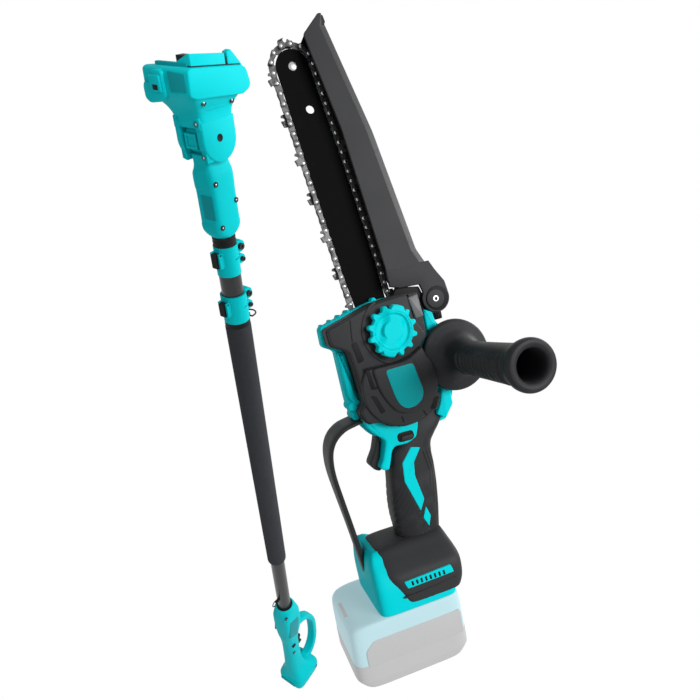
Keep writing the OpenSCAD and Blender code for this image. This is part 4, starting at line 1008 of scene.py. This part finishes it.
# %% [markdown]
# ## The chain guard
# The guard is a channel over the rear half of the bar. Its section is a C: front plate, bevel, rear
# wall, back plate. The section is carried up the guard between its left and right edges, and a
# Solidify modifier gives it a wall.

# %% Chain guard
GUARD_LOW, GUARD_TOP = 84, 307
LEFT_EDGE = np.array([(5.4, GUARD_LOW), (5.4, 94), (-9.5, 215), (-25.5, 291), (-24.5, 293), (-11.5, 306),
                      (-10.5, GUARD_TOP)], float)
RIGHT_EDGE = np.array([(56, 78), (50, 86), (39.2, 108), (19.8, 212), (-4.4, 303), (-5.8, GUARD_TOP)], float)


def guard_sheet(n=90):
    """Rows of a C section: left front, bevel start, right edge, rear corner, left back."""
    z = np.concatenate([np.linspace(GUARD_LOW, 290, n), np.linspace(291, GUARD_TOP, 17)])
    left = np.interp(z, LEFT_EDGE[:, 1], LEFT_EDGE[:, 0])
    right = np.interp(z, RIGHT_EDGE[:, 1], RIGHT_EDGE[:, 0])
    width = np.maximum(right - left, 0.5)
    bevel = np.minimum(8.0, 0.45 * width)
    cols = [(left, -15.4), (left + 0.8, -16.0), (right - bevel - 0.8, -16.0), (right - bevel, -15.9),
            (right - bevel + 0.8, -15.3), (right - 1.2, -10.3), (right - 0.3, -9.4), (right, -8.0),
            (right, 10.5), (right - 0.5, 12.4), (right - 2.4, 13.0), (left, 13.0)]
    return np.stack([np.stack([x, np.full(len(z), y), z], 1) for x, y in cols], 1)


sheet = guard_sheet()
rows, cols = sheet.shape[:2]
i, j = np.arange(rows - 1)[:, None], np.arange(cols - 1)[None, :]
guard_faces = np.stack([i * cols + j, i * cols + j + 1, (i + 1) * cols + j + 1, (i + 1) * cols + j],
                       -1).reshape(-1, 4).tolist()
guard = put("chain_guard", sheet, guard_faces, "dark_shell", "guard", "chain_guard", sharp=22)
wall = guard.modifiers.new("wall", "SOLIDIFY")
wall.thickness, wall.offset = 2.4 * MM, -1.0
wall.use_even_offset = True
plate("guard_tip", [(-25.0, 291.5), (-11, 306.8), (-5.6, 306.8), (-4.4, 301), (-6, 299), (-12, 300)], -13.2,
      10.4, "dark_shell", "guard", edge=0.3, corner=0.8)
BOSS = np.vstack([[(5.4, 95), (6.2, 80), (15, 77.5), (33.5, 77), (35.5, 70)],
                  circle(46.5, 63, 13, 40, 170, 372), [(57.5, 76), (50, 88), (46, 96)]])
plate("guard_foot", BOSS, -13.4, -16.05, "dark_shell", "guard", edge=0.8, corner=0)
rings_piece("guard_bezel", plate_rings(circle(47.6, 62.4, 10.6, 64), -15.5, -16.7, 0.3), "black_plastic",
            "guard")
rings_piece("guard_disc", plate_rings(circle(45.4, 62.2, 8.4, 64), -15.5, -17.5, 0.7), "dark_shell", "guard")
BOLT = [(2.9, -3), (2.9, 1.4), (2.5, 1.8), (1.5, 1.9), (1.2, 1.0), (0.1, 0.9)]
rings_piece("guard_bolt", facing_y(BOLT, 48) + (45.4, -16.4, 62.2), "steel", "root", "guard_screw")

# %% Rivet at the bar's nose
RIVET = [(3.6, 0), (3.6, 0.3), (3.0, 0.8), (1.6, 1.1), (0.1, 1.2)]
rings_piece("nose_rivet", facing_y(RIVET, 40) + (0, -1.5, BAR_LEN), "steel", "root", place=bar_place)

# %% [markdown]
# ## The docking head
# The saw docks on a turquoise head at the top of the pole. It is a box with a stepped left end, a rail
# on top that falls towards the rear with a black contact block behind it, and two ears that close on
# the pivot below. The flare between box and ears is a stack of superellipses.

# %% Head
PIVOT_Z = 1125.3
CUP = [(3.4, -2.5), (3.4, 0.35), (3.1, 0.5), (2.8, -0.1), (2.2, -0.2), (1.9, 0.2), (0.9, 0.25), (0.7, -0.3),
       (0.05, -0.3)]
PIN = [(1.3, -1), (1.3, 0.4), (0.9, 0.7), (0.05, 0.75)]


def screw(name, at, body, *stands_for, axes=(0, 2, 1), way=(1, -1, 1)):
    """A dark cup with a small raised disc and a bright pin in it. It faces -Y unless told otherwise."""
    for end, profile, n, slot, taken in (("", CUP, 36, "black_screw", stands_for),
                                         ("_pin", PIN, 20, "steel", ())):
        rings_piece(name + end, lathe_rings(profile, n)[..., axes] * way + at, slot, body, *taken, place=pole)


def head_plate(name, points, back, front, *stands_for, slot="teal_shell", body="docking_head", place=pole,
               **how):
    """A plate of the head, turquoise unless another slot is named."""
    plate(name, points, back, front, slot, body, *stands_for, place=place, **how)


def at_end(points):
    """A plate's X, Y, Z turned to face the pole's -X: (x, y, z) to (y, x, z)."""
    return np.asarray(points, float)[:, [1, 0, 2]]


HEAD = [
    (-46, 1178), (-44.6, 1202), (-40, 1204.5), (36, 1197.5), (43, 1194), (48, 1178), (45, 1172.5), (34, 1168),
    (-38, 1174),
]
rings_piece("head_box", plate_rings(fillet(HEAD, 3.0), 35, -35, 1.6, 2.6), "teal_shell", "docking_head",
            "head_shell_front", "head_shell_rear", place=pole)
FLARE = [
    (1140, -26.4, 26.4, 21.6, 8), (1148, -27, 27, 22, 8), (1155, -28.6, 28.4, 23.2, 8),
    (1162, -32, 31.5, 26, 9), (1169, -37.5, 37, 30.4, 9), (1177, -44, 44, 34.6, 10),
    (1182, -45, 46, 34.9, 10),
]
rings_piece("head_flare", stack(FLARE, 60, 112), "teal_shell", "docking_head", place=pole)


def rail_place(points):
    """The rail's section lies in Y and Z, and its top falls 0.1 mm for each mm along X."""
    p = at_end(points)
    return p - (p[:, :1] + 33) * (0, 0, 0.1)


head_plate("head_rail", [(-28.5, 1200), (-28.5, 1216.6), (-24, 1216.0), (-6, 1207.6), (12, 1204.6),
                         (27, 1203.4), (27, 1200)], 18, -33, edge=1.0, back_edge=1.0, corner=1.4,
           place=rail_place)
head_plate("contact_block", [(-16, 1200), (-16, 1211.6), (-4.5, 1211.6), (-4.5, 1200)], 11, -11,
           "head_contact_block", slot="black_plastic", edge=0.6, back_edge=0.6, corner=0.8)
head_plate("rail_wedge", [(21.5, 1197.6), (21.5, 1212.0), (28, 1213.8), (33, 1209), (44.5, 1196), (42, 1194)],
           -21, -28.5, edge=1.0, back_edge=1.0, corner=1.4)
# Black plates painted as shade: the shadow under the rail's front edge and the shadow in the gap before the
# wedge.
RAIL_SHADE = {
    "shade": ([(-34, 1203.4), (-34, 1205.2), (18, 1200.4), (40, 1198.2), (40, 1196.8), (18, 1198.6)], -29.0),
    "gap": ([(17.6, 1199), (17.6, 1207), (21.8, 1207), (21.8, 1199)], -27.6),
}
for name, (shape, front_y) in RAIL_SHADE.items():
    head_plate("rail_" + name, shape, -24, front_y, slot="black_plastic", edge=0.2, back_edge=0.2, corner=0.3)
ear_plan = np.vstack([circle(0, PIVOT_Z, 27, 60, 176, 364),
                      [(26.9, 1136), (26.6, 1147), (-26.6, 1147), (-26.9, 1136)]])
HUB = [(4.4, -2.6), (4.4, 0.25), (4.0, 0.4), (3.4, 0.1), (0.1, 0.05)]
for side in (-1, 1):
    head_plate(f"head_ear_{side + 1}", ear_plan, side * 13, side * 22, edge=2.2, corner=0)
    rings_piece(f"pivot_cup_{side + 1}", facing_y(HUB, 48, side) + (-1, side * 22, 1126), "black_plastic",
                "docking_head", place=pole)
screw("head_screw_0", (-25, -30.0, 1168.5), "docking_head", "head_screws")
screw("head_screw_1", (21.5, -27.0, 1163), "docking_head")
for side in (-1, 1):
    near, far = sorted((side * 12.8, side * 20.5))
    head_plate(f"knuckle_step_{side + 1}", [(near, 1139), (near, 1152), (far, 1152), (far, 1139)], -18, -28.2,
               edge=1.2, corner=1.2, place=at_end)
    head_plate(f"knuckle_toe_{side + 1}", [(near, 1101), (near, 1114), (far, 1114), (far, 1103)], -14, -24.8,
               edge=1.2, corner=1.2, place=at_end)
for k, at in enumerate([(-28.1, -16, 1145.5), (-24.7, -15.6, 1108)]):
    screw(f"knuckle_screw_{k}", at, "docking_head", axes=(2, 0, 1), way=(-1, 1, 1))
for k, (z, half_y, x) in enumerate([(1158.4, 24.5, 19), (1162.2, 26.1, 22), (1166.0, 28.4, 25)]):
    head_plate(f"flare_line_{k}", [(-x, z), (x, z), (x, z + 0.5), (-x, z + 0.5)], -half_y + 2, -half_y - 0.12,
               edge=0.2, corner=0.1)
# A darker teal painted as shade, standing for the shadow in recesses: on the head's left end and top here,
# and on the neck's side panel and the handle foot's pocket below.
shade = moulded("painted_shade_teal", (0.0, 0.33, 0.36), (0.0, 0.37, 0.40), 0.6, 0.6, 0.05, 0.7, 0.1)
head_plate("end_block", [(1, 1176), (1, 1200.5), (7, 1202.5), (18, 1201), (20, 1190), (32, 1189),
                         (34.4, 1184), (34.4, 1172), (28, 1167.5), (10, 1170)], -40, -48.4, edge=2.0,
           corner=3, place=at_end)
head_plate("end_recess", [(-31, 1182), (-31, 1199.5), (-6, 1201.5), (-6, 1181)], -42, -46.5, edge=0.4,
           corner=2, place=at_end, material=shade)
head_plate("end_top_recess", [(-24, 1203), (-24, 1207.6), (24, 1207.6), (24, 1203)], -30, -34.4, edge=0.4,
           corner=1, place=at_end, material=shade)
head_plate("release_button", [(4.5, 1179.8), (4.5, 1196.6), (21.5, 1196.6), (21.5, 1179.8)], -44, -50.0,
           "head_release_button", body="head_release", edge=1.2, corner=2, place=at_end)
head_plate("release_slot", [(8.4, 1182), (8.4, 1187.5), (16.5, 1187.5), (16.5, 1182)], -49, -50.15,
           slot="black_plastic", body="head_release", edge=0.2, corner=0.8, place=at_end)

# %% [markdown]
# ## Neck and knuckle
# The neck grips the top tube. Its body is a soft box that narrows to a tongue between the ears, with a
# panel of painted shade on its left side, a darker teal standing for the shadow in a recess, and a
# rounded lower end above the black seal.

# %% Neck
NECK = [
    (1001.4, -13, 13, 13, 2), (1002.6, -15.5, 15.5, 15, 2.1), (1007, -19, 19, 16.4, 3),
    (1013, -21.2, 21.2, 17, 4.6), (1020, -21.4, 21.4, 17, 6), (1026, -20.6, 20.8, 16.8, 6),
    (1062, -20.4, 20.4, 16.8, 6), (1068, -21.2, 20.8, 17, 6), (1084, -21.4, 20.6, 16.8, 6),
    (1091, -19.6, 19.6, 14.6, 6), (1098, -19, 19, 12.5, 7), (1108, -20, 20, 12.5, 8),
]
rings_piece("neck_body", stack(NECK, 110, 120), "teal_shell", "top_section", "neck_shell_front",
            "neck_shell_rear", place=pole)
plate("tongue", circle(0, PIVOT_Z, 21.6, 72), 12.4, -12.4, "teal_shell", "top_section", edge=0.8,
      back_edge=0.8, corner=0, place=pole)
# The side panel is painted shade: a darker teal for the shadow in a recess.
plate("neck_panel", [(-13, 1029), (-13, 1060), (6, 1060), (6, 1029)], -18, -20.7, "teal_shell", "top_section",
      edge=0.3, corner=2.0, place=at_end, material=shade)
NECK_SCREW_Y = -17.1
for k, (x, z) in enumerate([(-14.5, 1074), (15.5, 1046), (-14.5, 1019)]):
    screw(f"neck_screw_{k}", (x, NECK_SCREW_Y, z), "top_section", *(["neck_screws"] if k == 0 else []))

# %% [markdown]
# ## The pole's handle
# The handle is one moulding that changes its section all the way down: round at the collar, a soft box
# at the label panel, a slim grip behind the trigger, and a wide foot. The finger loop is a rounded
# rectangle carried along a smooth path. A black seal sits inside the collar's lip.

# %% Handle
HANDLE = [
    (133, -15, 15, 15, 2), (133.6, -18.6, 18.6, 18.6, 2), (131, -20.4, 20.4, 20.4, 2.1),
    (122, -22, 23, 21.4, 2.5), (112, -23.4, 24.6, 21.8, 3.6), (100, -23.6, 26, 22, 5), (62, -23.6, 26, 22, 5),
    (40, -22.6, 24.6, 21.6, 4.4), (22, -22, 21, 20, 3.6), (0, -19.6, 17.6, 18, 3),
    (-20, -18.6, 16.4, 17, 2.8), (-60, -18.6, 16.6, 17.4, 2.8), (-100, -19, 18, 18.4, 2.9),
    (-124, -19.6, 21, 20, 3.1), (-142, -21, 28, 24.6, 3.4), (-154, -22.4, 40, 30, 3.8),
    (-162, -23.6, 50, 33.6, 4.4), (-167, -24, 53, 34.6, 5), (-169, -26, 54.6, 35, 5.4),
    (-184, -26, 54.6, 35, 5.4), (-188.6, -25, 53, 34, 5), (-190, -23, 51, 32, 5),
]
rings_piece("handle_body", stack(HANDLE, 210, 128), "teal_shell", "root", "handle_shell_front",
            "handle_shell_rear", place=pole)
seal = lathe_rings([(14.1, 126), (14.1, 133.4), (15.0, 134.0), (17.2, 133.8), (18.2, 133.2), (18.2, 126)], 72)
rings_piece("collar_seal", seal, "black_rubber", "root", "handle_collar", place=pole)
plate("ring_lug", [(-24, 169.5), (-24, 174.6), (-13.6, 174.6), (-13.6, 169.5)], 3, -3, "black_rubber", "root",
      edge=0.8, back_edge=0.8, corner=1.2, place=pole)
LOOP_PATH = [
    (12, 26, 8.2), (30, 20, 7.4), (48, 11, 6.8), (62, -4, 6.4), (72, -24, 6.4), (78, -50, 6.4),
    (79, -82, 6.4), (77.5, -108, 6.6), (72, -130, 7.2), (62, -148, 8.4), (48, -158, 9.5), (34, -160, 10),
]


def loop_rings(n=140, m=48, half_wide=10.6):
    """Path c(s), normal N: c + N w |cos|^p + Y h |sin|^p, a rounded rectangle with sides 2w and 2h."""
    path = smooth_path(LOOP_PATH, n)
    along = np.gradient(path[:, :2], axis=0)
    along /= np.linalg.norm(along, axis=1)[:, None]
    a = np.linspace(0, TAU, m, endpoint=False)
    c, s = (soft(f(a), 0.4) for f in (np.cos, np.sin))
    w = path[:, 2, None]
    x = path[:, 0, None] + along[:, 1, None] * w * c
    z = path[:, 1, None] - along[:, 0, None] * w * c
    return np.stack([x, np.broadcast_to(half_wide * s, x.shape), z], -1)


rings_piece("finger_loop", loop_rings(), place=pole, sharp=50)
panel = moulded("bare_panel", (0.0, 0.27, 0.30), (0.0, 0.30, 0.33), 0.5, 1.0, 0.01, 0.7, 0.15)
for side in (-1, 1):
    plate(f"handle_panel_{side + 1}", [(-21, 40), (4, 24), (15, 68), (13, 84), (-13, 94)], side * 20,
          side * 22.25, edge=0.25, corner=3, place=pole, material=panel)
for k, at in enumerate([(-19.5, -20.6, 119), (-10, -17.6, -44), (40, -35.0, -177)]):
    screw(f"handle_screw_{k}", at, "root", *(["handle_screws"] if k == 0 else []))
# A plate of darker teal painted as shade: the shadow in a pocket on the foot's left end.
plate("foot_pocket", [(-17, -182), (-17, -171), (24, -171), (24, -182)], -24, -28.0, edge=0.2, corner=2,
      place=at_end, material=shade)
TRIG = [
    (12, -33), (20, -31), (30, -33), (29.4, -40), (25.6, -47), (26.6, -54), (31, -60), (30, -64.5), (20, -65),
    (12, -62),
]
plate("pole_trigger_shell", TRIG, 6, -6, "black_plastic", "pole_trigger", "handle_trigger", edge=1.6,
      back_edge=1.6, corner=3, place=pole)
